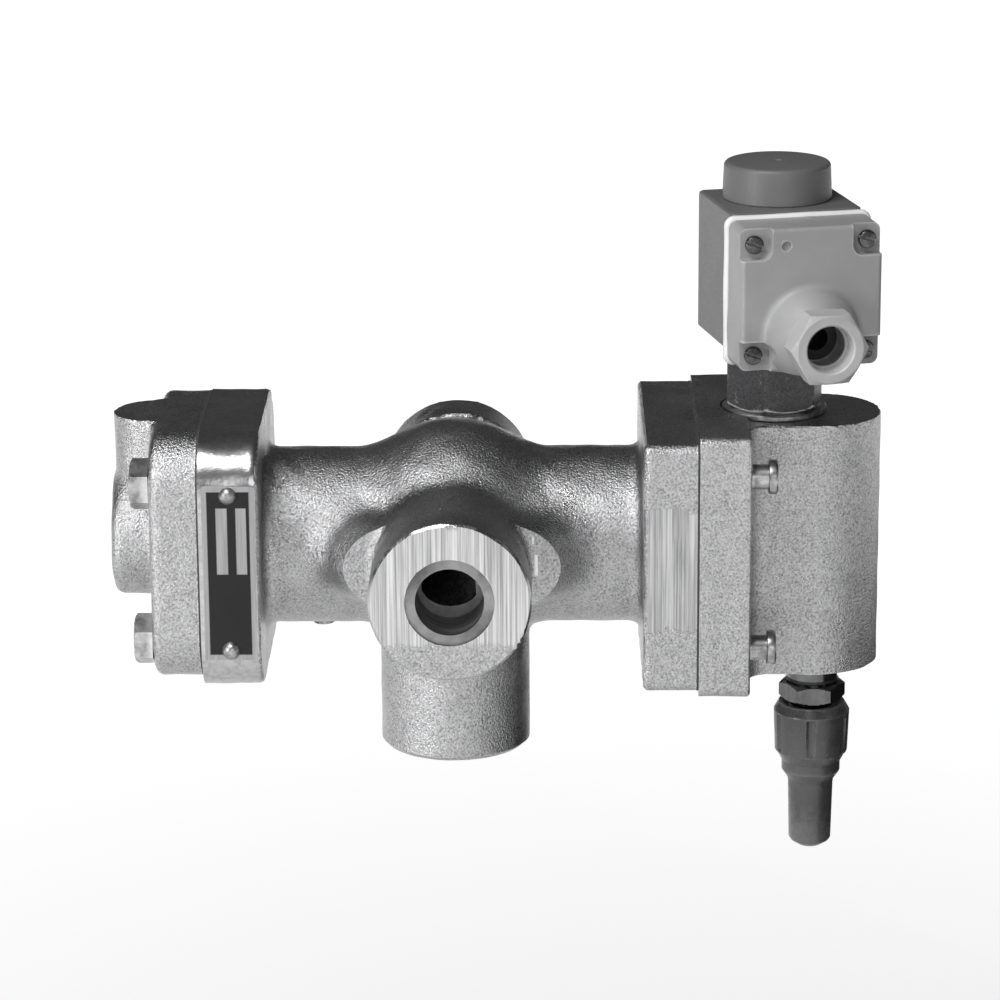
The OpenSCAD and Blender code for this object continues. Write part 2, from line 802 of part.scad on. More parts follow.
module right_cover() {
    color(cast_colour) at_axis() difference() {
        union() {
            head_plate();
            head_body();
        }
        rod_x(cylinder_d, right_seat_x - past, cylinder_end_x);
        translate([pilot_x, 0, 0]) {
            rod_z(pilot_neck_d + 2 * fit_gap, pilot_floor_z, head_top + past);
            rod_z(nozzle_body_d + 2 * fit_gap, pilot_floor_z - nozzle_body_h, pilot_floor_z + past);
            rod_z(nozzle_d, 0, pilot_floor_z);
        }
        translate([drain_x, 0, 0]) {
            rod_z(drain_thread_d + 2 * fit_gap, -head_foot - past, -head_foot + drain_thread_l + 1);
            rod_z(core_bore_d, -head_foot, 0);
        }
        translate([pilot_x, 0, 0]) rod_z(spot_face_d, head_top, head_plate_w);
        pilot_feed();
        four_x(right_bolt_span, right_bolt_pitch)
            rod_x(right_bolt_d + 2 * bolt_gap, right_seat_x - past, head_plate_x + past);
    }
}

// Cap screws with a plain neck under a collar head
module right_cover_bolts() {
    neck_end = head_plate_x + right_screw_neck_l;
    color(bright_colour) at_axis() four_x(right_bolt_span, right_bolt_pitch) difference() {
        union() {
            rod_x(right_bolt_d, head_plate_x - right_bolt_l, head_plate_x + past);
            rod_x(right_screw_neck_d, head_plate_x, neck_end);
            rod_x(right_head_d, neck_end, neck_end + right_screw_head_h);
        }
        hex_x(right_screw_socket_af, neck_end, neck_end + right_screw_head_h + past);
    }
}

module stem_bush() {
    color(brass_colour) at_axis() difference() {
        ring_x(main_bore_d - 2 * fit_gap, stem_d + 2 * run_gap, bush_x, right_reach);
        rod_x(seal_groove_d, bush_x + bush_t / 2, bush_x + bush_t / 2 + seal_groove_t);
    }
}

module stem_seal() {
    color(soft_colour) at_axis()
        ring_x(seal_groove_d - 2 * fit_gap, stem_d + 2 * run_gap, bush_x + bush_t / 2 + fit_gap,
            bush_x + bush_t / 2 + seal_groove_t - fit_gap);
}

module spool_stem() {
    color(bright_colour) at_axis() rod_x(stem_d, stem_left_x, stem_right_x);
}

module valve_disc_left() {
    color(pale_colour) at_axis() ring_x(disc_d, stem_d + 2 * fit_gap, backing_left_x, disc_left_x);
}

module valve_disc_right() {
    color(pale_colour) at_axis() ring_x(disc_d, stem_d + 2 * fit_gap, disc_right_x, backing_right_x);
}

module disc_backing_left() {
    color(bright_colour) at_axis()
        ring_x(backing_d, stem_d + 2 * fit_gap, backing_left_x - backing_t, backing_left_x);
}

module disc_backing_right() {
    color(bright_colour) at_axis()
        ring_x(backing_d, stem_d + 2 * fit_gap, backing_right_x, backing_right_x + backing_t);
}

// Hex nut on the stem, with its left face at x0
module stem_nut(x0) {
    difference() {
        hex_x(nut_af, x0, x0 + nut_h);
        rod_x(stem_d + 2 * fit_gap, x0 - past, x0 + nut_h + past);
    }
}

module disc_nuts() {
    color(bright_colour) at_axis() {
        stem_nut(disc_nut_left_x);
        stem_nut(disc_nut_right_x);
    }
}

module power_piston() {
    color(ground_colour) at_axis() difference() {
        ring_x(cylinder_d - 2 * run_gap, stem_d + 2 * fit_gap, piston_x, piston_x + piston_t);
        ring_x(cylinder_d + 2, ring_groove_d, piston_x + (piston_t - ring_t) / 2 - fit_gap,
            piston_x + (piston_t + ring_t) / 2 + fit_gap);
    }
}

module piston_ring() {
    color(dark_colour) at_axis()
        ring_x(cylinder_d - 2 * run_gap + fit_gap, ring_groove_d + 2 * fit_gap,
            piston_x + (piston_t - ring_t) / 2, piston_x + (piston_t + ring_t) / 2);
}

module piston_nuts() {
    color(bright_colour) at_axis() {
        stem_nut(piston_x - nut_h);
        stem_nut(piston_nut_right_x);
    }
}

module pilot_orifice() {
    color(brass_colour) at_axis() translate([pilot_x, 0, 0]) difference() {
        union() {
            rod_z(nozzle_body_d, pilot_floor_z - nozzle_body_h, pilot_floor_z);
            rod_z(nozzle_d + 2, pilot_floor_z, nozzle_top);
        }
        rod_z(nozzle_d, pilot_floor_z - nozzle_body_h - past, nozzle_top + past);
    }
}

module tube_seal() {
    color(soft_colour) at_axis() translate([pilot_x, 0, 0])
        ring_z(tube_flange_d, seal_hole_d, pilot_floor_z, flange_z);
}

module pilot_washer() {
    color(bright_colour) at_axis() translate([pilot_x, 0, 0])
        ring_z(washer_d, pilot_neck_d + 2 * bolt_gap, head_top, nut_seat_z);
}

module pilot_nut() {
    color(dark_colour) at_axis() translate([pilot_x, 0, 0]) rotate([0, 0, pilot_nut_turn]) difference() {
        union() {
            hex_z(pilot_nut_af, nut_seat_z, pilot_nut_top);
            rod_z(pilot_neck_d, flange_z, nut_seat_z + past);
        }
        rod_z(tube_od + 2 * fit_gap, flange_z - past, pilot_nut_top + past);
        rod_z(tube_flange_d + 2 * fit_gap, flange_z - past, flange_z + flange_t);
    }
}

module pilot_tube() {
    color(bright_colour) at_axis() translate([pilot_x, 0, 0]) difference() {
        union() {
            rod_z(tube_flange_d, flange_z, flange_z + flange_t);
            rod_z(tube_od, flange_z, tube_top);
        }
        rod_z(tube_id, flange_z - past, tube_top - tube_roof);
    }
}

module fixed_core() {
    color(ground_colour) at_axis() translate([pilot_x, 0, 0])
        rod_z(tube_id - 2 * fit_gap, core_z, tube_top - tube_roof);
}

module armature() {
    color(ground_colour) at_axis() translate([pilot_x, 0, 0]) difference() {
        rod_z(armature_d, armature_z + tip_inset, armature_top);
        rod_z(tip_d + 2 * fit_gap, armature_z - past, armature_z + tip_t);
        rod_z(spring_pocket_d, armature_top - spring_pocket_h, armature_top + past);
    }
}

module armature_tip() {
    color(soft_colour) at_axis() translate([pilot_x, 0, 0]) rod_z(tip_d, armature_z, armature_z + tip_t);
}

module armature_spring() {
    color(bright_colour) at_axis() translate([pilot_x, 0, 0])
        coil_spring(armature_spring_d, armature_wire_d, armature_top - spring_pocket_h + face_gap,
            core_z - face_gap, 7, small_spring_steps, small_spring_sides);
}

// Upright block with round corners, between two depths and two heights
module coil_block(w, y0, y1, z0, z1, r) {
    translate([0, (y0 + y1) / 2, z0]) linear_extrude(z1 - z0) round_square(w, y1 - y0, r);
}

// Coil housing: a moulded box that is open below for the yoke and winding
module coil_housing() {
    color(housing_colour) at_coil() difference() {
        coil_block(coil_w, -coil_front, coil_back, coil_z, coil_top, coil_corner_r);
        coil_block(coil_room_w, -coil_room_y, coil_room_y, coil_z - past, coil_room_top, 1);
        rod_z(coil_hole_d, coil_room_top - past, coil_top + past);
        for (x = [-1, 1], z = [-1, 1]) translate([x * screw_x, 0, cover_mid_z + z * screw_z])
            rod_y(screw_shank_d + 2 * fit_gap, -coil_front - past, -coil_front + screw_depth + 0.5);
        for (i = [-1 : 1]) translate([i * terminal_pitch, 0, block_z])
            rod_y(terminal_screw_d + 2 * fit_gap, -coil_front - past, -coil_front + terminal_depth + 1);
    }
}

module coil_base() {
    color(housing_colour) at_coil() difference() {
        coil_block(coil_room_w - 2 * fit_gap, -coil_room_y + fit_gap, coil_room_y - fit_gap,
            coil_z, coil_room_z, 1);
        rod_z(coil_hole_d, coil_z - past, coil_room_z + past);
    }
}

// Steel frame: top and bottom plates joined by two side plates
module coil_yoke() {
    yoke_w = coil_room_w - 0.4;
    yoke_depth = coil_room_y * 1.6;
    color(dark_colour) at_coil() difference() {
        translate([-yoke_w / 2, -yoke_depth / 2, coil_room_z])
            cube([yoke_w, yoke_depth, coil_room_top - coil_room_z]);
        translate([-yoke_w / 2 + yoke_t, -yoke_depth, yoke_inner_z])
            cube([yoke_w - 2 * yoke_t, 2 * yoke_depth, yoke_inner_top - yoke_inner_z]);
        rod_z(coil_hole_d, coil_room_z - past, coil_room_top + past);
    }
}

module coil_bobbin() {
    color(pale_colour) at_coil() difference() {
        union() {
            rod_z(bobbin_d, yoke_inner_z, yoke_inner_top);
            rod_z(bobbin_flange_d, yoke_inner_z, yoke_inner_z + bobbin_flange_t);
            rod_z(bobbin_flange_d, yoke_inner_top - bobbin_flange_t, yoke_inner_top);
        }
        rod_z(coil_hole_d, yoke_inner_z - past, yoke_inner_top + past);
    }
}

module coil_winding() {
    color(copper_colour) at_coil()
        ring_z(winding_d, bobbin_d + 2 * fit_gap, yoke_inner_z + bobbin_flange_t,
            yoke_inner_top - bobbin_flange_t);
}

module coil_cap() {
    color(housing_colour) at_coil() difference() {
        translate([0, 0, coil_top]) cylinder(d1 = cap_d, d2 = cap_d - 1, h = cap_h);
        translate([0, 0, coil_top + cap_h + 0.3 * cap_dimple_d]) sphere(d = cap_dimple_d);
        rod_z(cap_d - 2 * cap_wall, coil_top - past, coil_top + cap_h - cap_roof);
    }
}

module terminal_block() {
    color(soft_colour) at_coil() difference() {
        slab_y(block_w, block_h, 1, -coil_front - block_t, -coil_front, block_z);
        for (i = [-1 : 1]) translate([i * terminal_pitch, 0, block_z])
            rod_y(terminal_screw_d + 2 * fit_gap, -coil_front - block_t - past, -coil_front + past);
    }
}

module terminal_screws() {
    block_y = -coil_front - block_t;
    color(brass_colour) at_coil() for (i = [-1 : 1]) translate([i * terminal_pitch, 0, block_z]) {
        rod_y(terminal_screw_d, block_y - past, -coil_front + terminal_depth);
        rod_y(terminal_head_d, block_y - terminal_head_h, block_y);
    }
}

// Round-cornered blocks at the corners of the terminal cover, where the four screws sit
module cover_corners(w, y0, y1) {
    for (x = [-1, 1], z = [-1, 1]) translate([x * cover_w / 2, 0, z * cover_h / 2])
        slab_y(2 * w, 2 * w, screw_corner_r, y0, y1, cover_mid_z);
}

// Space inside the terminal cover, between its corner posts
module cover_room(y0, y1) {
    room = 2 * (cover_wall + 1);
    difference() {
        slab_y(cover_w - room, cover_h - room, 1, y0, y1, cover_mid_z);
        cover_corners(screw_square + cover_wall, y0 - past, y1 + past);
    }
}

module box_gasket() {
    color(pale_colour) at_coil() difference() {
        slab_y(cover_w + 2 * rim_overhang, cover_h + 2 * rim_overhang, cover_r + rim_overhang,
            rim_y, -coil_front, cover_mid_z);
        cover_room(rim_y - past, -coil_front + past);
        cover_screw_holes();
    }
}

// Clearance holes of the four cover screws
module cover_screw_holes() {
    for (x = [-1, 1], z = [-1, 1]) translate([x * screw_x, 0, cover_mid_z + z * screw_z])
        rod_y(screw_shank_d + 2 * bolt_gap, cover_y - past, -coil_front + past);
}

// Outside of the terminal cover, drawn in slightly towards its front
module cover_block() {
    front_w = cover_w - 2 * cover_taper;
    front_h = cover_h - 2 * cover_taper;
    hull() {
        slab_y(cover_w, cover_h, cover_r, rim_y - 0.01, rim_y, cover_mid_z, $fn = 32);
        slab_y(front_w, front_h, cover_r, cover_y + 1, cover_y + 1.01, cover_mid_z, $fn = 32);
        slab_y(front_w - 2 * cover_edge, front_h - 2 * cover_edge, cover_r,
            cover_y, cover_y + 0.01, cover_mid_z, $fn = 32);
    }
}

module box_cover() {
    color(cover_colour) at_coil() difference() {
        union() {
            cover_block();
            translate([0, cover_y + cover_wall, gland_z]) rotate([90, 0, 0])
                cylinder(d1 = hub_d, d2 = hub_neck_d, h = hub_h + cover_wall);
        }
        cover_room(cover_y + cover_wall, rim_y + past);
        cover_corners(screw_square, cover_y - past, cover_y + screw_recess);
        cover_screw_holes();
        translate([0, 0, gland_z]) {
            rod_y(hub_bore_d, cover_y - hub_h - past, cover_y + cover_wall + past);
            rod_y(gland_neck_d + 2 * run_gap, gland_seat_y - past, gland_floor_y);
        }
    }
}

// Slotted screws with low round heads
module cover_screws() {
    seat_y = cover_y + screw_recess;
    color(bright_colour) at_coil() for (x = [-1, 1], z = [-1, 1])
        translate([x * screw_x, 0, cover_mid_z + z * screw_z]) difference() {
            union() {
                rod_y(screw_shank_d, seat_y - past, -coil_front + screw_depth);
                rod_y(screw_head_d, seat_y - screw_head_h, seat_y);
            }
            rotate([0, slot_turn, 0]) translate([0, seat_y - screw_head_h, 0])
                cube([2 * screw_head_d, 2 * slot_depth, slot_w], center = true);
        }
}

module gland_seal() {
    color(soft_colour) at_coil() translate([0, 0, gland_z]) difference() {
        rod_y(hub_bore_d - 2 * fit_gap, gland_floor_y, cover_y + cover_wall);
        rod_y(hub_bore_d * 0.55, gland_seat_y + gland_neck_l, cover_y + cover_wall + past);
    }
}

// Hex nut that turns on the hub, its neck inside the hub's mouth
module gland_nut() {
    front_y = gland_seat_y - face_gap - gland_l;
    color(pale_colour) at_coil() translate([0, 0, gland_z]) difference() {
        union() {
            translate([0, gland_seat_y - face_gap, 0]) rotate([90, 0, 0])
                cylinder(d = gland_af / cos(30), h = gland_l, $fn = 6);
            rod_y(gland_neck_d, gland_seat_y - 2, gland_seat_y + gland_neck_l);
        }
        rod_y(gland_hole_d, front_y - past, gland_seat_y + gland_neck_l + past);
    }
}

module drain_adapter() {
    color(brass_colour) at_drain() difference() {
        union() {
            rod_z(drain_thread_d, -head_foot - past, -head_foot + drain_thread_l);
            rod_z(nipple_d, nipple_z - past, -head_foot);
            hex_z(adapter_af, adapter_z, nipple_z);
            rod_z(adapter_neck_d, adapter_end_z, adapter_z + past);
        }
        rod_z(core_bore_d, core_seat_z, -head_foot + drain_thread_l + past);
        rod_z(core_pin_d + 2 * run_gap, adapter_end_z - past, core_seat_z);
    }
}

// Valve pin: a head that seals on the shoulder, and a pin that is pressed from below
module drain_core() {
    color(brass_colour) at_drain() {
        rod_z(core_pin_d, adapter_end_z + core_pin_inset, core_seat_z + past);
        rod_z(core_head_d, core_seat_z + face_gap, core_seat_z + core_head_h);
        rod_z(core_pin_d - 1, core_seat_z + face_gap + past, core_seat_z + core_head_h + 3);
    }
}

module core_spring() {
    color(bright_colour) at_drain()
        coil_spring(core_spring_d, core_wire_d, core_spring_z, core_spring_top - face_gap,
            6, small_spring_steps, small_spring_sides);
}

module core_retainer() {
    color(brass_colour) at_drain()
        ring_z(core_bore_d - 2 * fit_gap, core_pin_d, core_spring_top, core_spring_top + retainer_t);
}

module cap_seal() {
    color(soft_colour) at_drain()
        ring_z(adapter_neck_d - 1, core_bore_d, cap_seat_z - cap_seal_t, cap_seat_z);
}

// Ribbed cap with a long closed sleeve
module drain_cap() {
    color(housing_colour) at_drain() difference() {
        union() {
            cone_z(drain_cap_d, drain_cap_d - 3, cap_ledge_z, cap_top_z);
            cone_z(drain_cap_d - 1, drain_cap_d, cap_rib_z, cap_ledge_z);
            cone_z(cap_mid_d, drain_cap_d - 1, cap_mid_z, cap_rib_z);
            rod_z(cap_mid_d, cap_mid_end_z, cap_mid_z);
            cone_z(sleeve_d, cap_mid_d, sleeve_top_z, cap_mid_end_z);
            cone_z(sleeve_d - 1, sleeve_d, sleeve_end_z, sleeve_top_z);
            cone_z(sleeve_d - 6, sleeve_d - 1, sleeve_end_z - sleeve_tip_h, sleeve_end_z);
        }
        for (i = [0 : rib_count - 1]) rotate([0, 0, rib_turn + i * 360 / rib_count])
            translate([(drain_cap_d + rib_groove_d) / 2 - rib_groove_depth, 0, 0])
                rod_z(rib_groove_d, cap_rib_z + 1.5, cap_ledge_z - 0.5);
        rod_z(cap_bore_d, cap_seat_z - cap_seal_t, cap_top_z + past);
        rod_z(core_bore_d, sleeve_end_z + sleeve_floor_t, cap_top_z);
    }
}

valve_body();
nameplate();
nameplate_screws();
seat_ring_left();
seat_ring_right();
left_gasket();
left_cover();
left_cover_bolts();
stem_guide_left();
return_spring();
right_gasket();
right_cover();
right_cover_bolts();
stem_bush();
stem_seal();
spool_stem();
valve_disc_left();
valve_disc_right();
disc_backing_left();
disc_backing_right();
disc_nuts();
power_piston();
piston_ring();
piston_nuts();
pilot_orifice();
tube_seal();
pilot_washer();
pilot_nut();
pilot_tube();
fixed_core();
armature();
armature_tip();
armature_spring();
coil_housing();
coil_base();
coil_yoke();
coil_bobbin();
coil_winding();
coil_cap();
terminal_block();
terminal_screws();
box_gasket();
box_cover();
cover_screws();
gland_seal();
gland_nut();
drain_adapter();
drain_core();
core_spring();
core_retainer();
cap_seal();
drain_cap();
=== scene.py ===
"""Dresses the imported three-way solenoid valve: castings, fittings, coil, finishes, camera and light."""

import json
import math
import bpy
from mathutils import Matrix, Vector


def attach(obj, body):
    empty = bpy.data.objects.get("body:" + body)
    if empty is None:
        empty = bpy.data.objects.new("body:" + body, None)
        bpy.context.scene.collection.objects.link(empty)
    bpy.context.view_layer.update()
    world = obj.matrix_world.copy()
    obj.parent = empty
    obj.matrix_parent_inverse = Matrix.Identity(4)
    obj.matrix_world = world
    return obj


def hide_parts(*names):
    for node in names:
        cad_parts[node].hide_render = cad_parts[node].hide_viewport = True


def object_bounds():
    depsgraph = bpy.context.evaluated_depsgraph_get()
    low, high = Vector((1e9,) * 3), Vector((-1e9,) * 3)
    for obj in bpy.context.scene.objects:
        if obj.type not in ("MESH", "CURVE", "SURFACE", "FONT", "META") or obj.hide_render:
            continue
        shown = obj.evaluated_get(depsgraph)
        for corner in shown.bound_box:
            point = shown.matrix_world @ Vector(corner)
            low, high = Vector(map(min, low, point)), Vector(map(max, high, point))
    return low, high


bl_info = {
    "name": "Three-way solenoid valve",
    "version": (1, 0, 0),
    "blender": (4, 5, 0),
    "location": "View3D > Sidebar > Valve",
    "description": "Builds the visible surfaces of a flanged three-way solenoid valve on its packed model",
    "category": "Object",
}

import bmesh
import bpy
import numpy as np
from mathutils import Quaternion, Vector

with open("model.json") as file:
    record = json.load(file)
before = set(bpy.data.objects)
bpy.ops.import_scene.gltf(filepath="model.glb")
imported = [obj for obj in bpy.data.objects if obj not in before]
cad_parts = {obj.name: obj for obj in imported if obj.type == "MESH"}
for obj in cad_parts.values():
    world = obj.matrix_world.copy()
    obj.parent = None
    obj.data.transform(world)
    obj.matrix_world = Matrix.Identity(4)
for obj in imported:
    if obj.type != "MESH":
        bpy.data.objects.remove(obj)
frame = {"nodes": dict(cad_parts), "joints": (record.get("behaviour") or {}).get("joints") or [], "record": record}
CAD_BOX = [list(corner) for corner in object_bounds()]

MM = 0.001
MOUNTS = {mount["name"]: mount for mount in frame["record"]["mounts"]}
JOINTS = {joint["name"]: joint for joint in frame["joints"]}
AXIS_Z = MOUNTS["low_pressure_port"]["pos_m"][2] / MM
PORT_RADIUS = MOUNTS["common_port"]["dims"]["r_mm"]
PORT_DEPTH = MOUNTS["common_port"]["dims"]["length_mm"]
PILOT_X = JOINTS["coil_swivel"]["pos_m"][0] / MM
DRAIN_X = JOINTS["drain_cap_turn"]["pos_m"][0] / MM
COIL_TURN = math.atan2(JOINTS["gland_turn"]["axis"][0], -JOINTS["gland_turn"]["axis"][1])
HUB_Z = JOINTS["gland_turn"]["pos_m"][2] / MM

# In millimetres: how far a cut runs past a face, the play round a shank, the drain fitting's hole in the
# pilot head and the left cover's bored well.
PAST = 4
HOLE_GAP = 0.03
DRAIN_HOLE, DRAIN_DEPTH = 6.53, 13
WELL_RADIUS, WELL_DEPTH = 14.2, 23

# Tracing cubes of the coil's pieces in millimetres, and of the covers as a share of the body's.
FINE_CUBE = {"housing": 0.9, "rim": 0.55, "cover": 0.62, "screw": 0.28}
COVER_CUBE_SHARE = 0.8

# In metres: weld distance, the floor's half width and the dark card's front, rear and height.
WELD = 2e-6
FLOOR_SPAN = 60.0
CARD_FRONT, CARD_REAR, CARD_HEIGHT = -0.17, 0.55, 0.34

# A piece with fewer faces has its normals turned outwards; the contour's own faces already are.
RECALC_LIMIT = 50000

# Colour and roughness of the cast edges that stand out: partly wear, partly a painted highlight along the edges.
CAST_EDGE_WEAR_AND_HIGHLIGHT = ((0.8, 0.8, 0.8), 0.24)


def spans(node, turn=0.0, about=(0.0, 0.0)):
    """Lowest and highest corner of a node in millimetres, in a frame turned about an upright axis."""
    mesh = frame["nodes"][node].data
    points = np.empty(len(mesh.vertices) * 3)
    mesh.vertices.foreach_get("co", points)
    points = points.reshape(-1, 3) / MM
    x, y = points[:, 0] - about[0], points[:, 1] - about[1]
    points[:, 0] = x * math.cos(turn) + y * math.sin(turn)
    points[:, 1] = y * math.cos(turn) - x * math.sin(turn)
    return points.min(0), points.max(0)


def coil_spans(node):
    """Corners of a node of the coil in the coil's own frame: the tube on Z, the terminal cover towards -Y."""
    return spans(node, COIL_TURN, (PILOT_X, 0.0))


class CastingSizes(bpy.types.PropertyGroup):
    """Sizes of the cast pieces, in millimetres."""

    tube_radius: bpy.props.FloatProperty(name="Tube radius", description="Outer radius of the through tube",
                                         default=33.5, min=30, max=37)
    bulge_radius: bpy.props.FloatProperty(name="Bulge radius", description="Radius of the central bulge",
                                          default=44.0, min=41, max=48)
    bulge_depth: bpy.props.FloatProperty(name="Bulge depth", description="Half depth of the bulge",
                                         default=44.0, min=36, max=46)
    bulge_round: bpy.props.FloatProperty(name="Bulge rounding",
                                         description="Rounding of its front and rear; a ball at its radius",
                                         default=44.0, min=10, max=44)
    flange_edge: bpy.props.FloatProperty(name="Flange edge", description="Rounded edge of the flanges",
                                         default=2.2, min=0.5, max=4)
    main_bore: bpy.props.FloatProperty(name="Main bore", description="Radius of the bore along the tube",
                                       default=20.0, min=18, max=22)
    collar_radius: bpy.props.FloatProperty(name="Collar radius",
                                           description="Radius of the side port collars", default=29.7,
                                           min=27, max=32)
    collar_step: bpy.props.FloatProperty(name="Collar step", description="Step from a collar to its neck",
                                         default=1.3, min=0.4, max=2)
    collar_length: bpy.props.FloatProperty(name="Collar length", description="Length of a side port collar",
                                           default=22.0, min=16, max=26)
    common_radius: bpy.props.FloatProperty(name="Common boss radius",
                                           description="Radius of the lower boss", default=28.6, min=26,
                                           max=31)
    recess_radius: bpy.props.FloatProperty(name="Recess radius",
                                           description="Turned recess around a side port", default=16.2,
                                           min=14.5, max=19)
    passage_radius: bpy.props.FloatProperty(name="Passage bulge",
                                            description="Radius of the passage bulges", default=17.0,
                                            min=14, max=19)
    passage_bore: bpy.props.FloatProperty(name="Passage bore", description="Radius of the drilled passages",
                                          default=8.0, min=6, max=9)
    passage_reach: bpy.props.FloatProperty(name="Passage reach",
                                           description="Where a passage meets the bore", default=44.0,
                                           min=40, max=50)
    ground_reach: bpy.props.FloatProperty(name="Ground flats", description="Distance of the ground flats",
                                          default=46.0, min=44, max=50)
    left_flange: bpy.props.FloatProperty(name="Left flange", description="Thickness of the left flange",
                                         default=22.4, min=18, max=24)
    right_depth: bpy.props.FloatProperty(name="Right flange depth", description="Front to back",
                                         default=100.0, min=90, max=104)
    right_height: bpy.props.FloatProperty(name="Right flange height", description="Bottom to top",
                                          default=95.0, min=90, max=104)
    right_flange: bpy.props.FloatProperty(name="Right flange", description="Thickness of the right flange",
                                          default=19.9, min=18, max=24)
    left_corner: bpy.props.FloatProperty(name="Left corner", description="Corner radius of the left flange",
                                         default=20.0, min=14, max=24)
    right_corner: bpy.props.FloatProperty(name="Right corner",
                                          description="Corner radius of the right flange", default=4.0,
                                          min=2, max=8)
    cover_edge: bpy.props.FloatProperty(name="Cover edge", description="Rounded edge of the left cover",
                                        default=3.6, min=1, max=5)
    bolt_head: bpy.props.FloatProperty(name="Bolt head", description="Height of the left bolt heads",
                                       default=7.0, min=5, max=9)
    screw_head: bpy.props.FloatProperty(name="Screw head",
                                        description="Height of the right screws' collars", default=3.4,
                                        min=2, max=5)
    spot_radius: bpy.props.FloatProperty(name="Spot face",
                                         description="Radius of the spot face under a bolt", default=10.8,
                                         min=9, max=12)
    spring_boss: bpy.props.FloatProperty(name="Spring boss", description="Radius of the round spring boss",
                                         default=22.5, min=20, max=25)
    column_radius: bpy.props.FloatProperty(name="Column", description="Radius of the upright column",
                                           default=16.0, min=13, max=18)
    pad_x: bpy.props.FloatProperty(name="Pad place", description="Place of the small pad under the tube",
                                   default=-50.0, min=-60, max=-40)
    pad_radius: bpy.props.FloatProperty(name="Pad radius", description="Radius of that pad",
                                        default=4.2, min=3, max=6)
    head_radius: bpy.props.FloatProperty(name="Head radius",
                                         description="Radius of the pilot head's round end", default=25.0,
                                         min=24, max=29)
    head_foot: bpy.props.FloatProperty(name="Head foot",
                                       description="Foot of the pilot head below the axis", default=-49.6,
                                       min=-52, max=-46)
    head_fillet: bpy.props.FloatProperty(name="Head fillet",
                                         description="Blend between the plate and the head", default=8.0,
                                         min=3, max=12)
    neck_hole: bpy.props.FloatProperty(name="Pilot hole",
                                       description="Radius of the hole for the pilot nut", default=11.03,
                                       min=10, max=12.5)
    neck_floor: bpy.props.FloatProperty(name="Pilot floor", description="Floor of that hole above the axis",
                                        default=33.3, min=30, max=38)
    cylinder: bpy.props.FloatProperty(name="Cylinder", description="Radius of the piston's cylinder",
                                      default=21.0, min=20, max=21.5)
    fillet: bpy.props.FloatProperty(name="Cast fillet", description="Blend where cast forms meet",
                                    default=6.0, min=2, max=20)
    wave: bpy.props.FloatProperty(name="Cast waviness", description="Depth of the uneven cast skin",
                                  default=0.35, min=0, max=0.6)
    cube: bpy.props.FloatProperty(name="Contour cube", description="Side of the cubes that trace a casting",
                                  default=1.34, min=0.8, max=3)


class FittingSizes(bpy.types.PropertyGroup):
    """Sizes of fasteners, nuts and the drain fitting, in millimetres."""

    bolt_radius: bpy.props.FloatProperty(name="Bolt radius", description="Thread radius of the left bolts",
                                         default=5.0, min=4, max=5.5)
    bolt_span: bpy.props.FloatProperty(name="Left bolt span", description="Front to rear left bolts",
                                       default=70.0, min=64, max=72)
    bolt_pitch: bpy.props.FloatProperty(name="Left bolt pitch", description="Lower to upper left bolts",
                                        default=60.0, min=58, max=66)
    screw_span: bpy.props.FloatProperty(name="Right screw span", description="Front to rear right screws",
                                        default=79.5, min=76, max=82)
    screw_pitch: bpy.props.FloatProperty(name="Right screw pitch",
                                         description="Lower to upper right screws", default=66.0, min=62,
                                         max=74)
    screw_radius: bpy.props.FloatProperty(name="Screw radius",
                                          description="Thread radius of the right screws", default=4.0,
                                          min=3, max=4.25)
    neck_radius: bpy.props.FloatProperty(name="Screw neck", description="Radius of the plain neck",
                                         default=4.6, min=4, max=5.5)
    neck_length: bpy.props.FloatProperty(name="Neck length", description="Length of the plain neck",
                                         default=6.3, min=4, max=8)
    bolt_flats: bpy.props.FloatProperty(name="Bolt flats", description="Left bolt heads across flats",
                                        default=17.0, min=15, max=18)
    collar_radius: bpy.props.FloatProperty(name="Screw collar", description="Radius of the screws' collar",
                                           default=6.4, min=5.5, max=7)
    socket_flats: bpy.props.FloatProperty(name="Screw socket", description="Hexagon socket across flats",
                                          default=6.4, min=5, max=7)
    nut_flats: bpy.props.FloatProperty(name="Nut flats", description="Pilot nut across flats",
                                       default=33.0, min=30, max=36)
    nut_turn: bpy.props.FloatProperty(name="Nut turn", description="Turn of the pilot nut's corners",
                                      default=math.radians(17.0), min=-0.6, max=0.6, unit="ROTATION",
                                      subtype="ANGLE")
    nut_neck: bpy.props.FloatProperty(name="Nut neck", description="Radius of the neck under the pilot nut",
                                      default=11.0, min=9, max=11)
    nut_bore: bpy.props.FloatProperty(name="Nut bore", description="Radius of the bore for the tube",
                                      default=7.03, min=6, max=8)
    adapter_flats: bpy.props.FloatProperty(name="Drain hexagon", description="Drain fitting across flats",
                                           default=22.0, min=19, max=24)
    nipple_radius: bpy.props.FloatProperty(name="Nipple",
                                           description="Radius of the drain fitting's collar", default=9.6,
                                           min=8, max=11)
    nipple_length: bpy.props.FloatProperty(name="Nipple length", description="Length of that collar",
                                           default=9.5, min=7, max=12)
    adapter_height: bpy.props.FloatProperty(name="Hexagon height",
                                            description="Height of the drain hexagon", default=7.2, min=5,
                                            max=10)
    rib_count: bpy.props.IntProperty(name="Cap grooves", description="Grip grooves round the drain cap",
                                     default=6, min=4, max=12)
    rib_turn: bpy.props.FloatProperty(name="Groove turn", description="Turn of the first grip groove",
                                      default=math.radians(26.0), min=-1, max=1, unit="ROTATION",
                                      subtype="ANGLE")
    rib_radius: bpy.props.FloatProperty(name="Groove radius", description="Radius of a grip groove",
                                        default=2.2, min=1, max=3)
    rib_depth: bpy.props.FloatProperty(name="Groove depth", description="Depth of a grip groove",
                                       default=1.3, min=0.3, max=2)


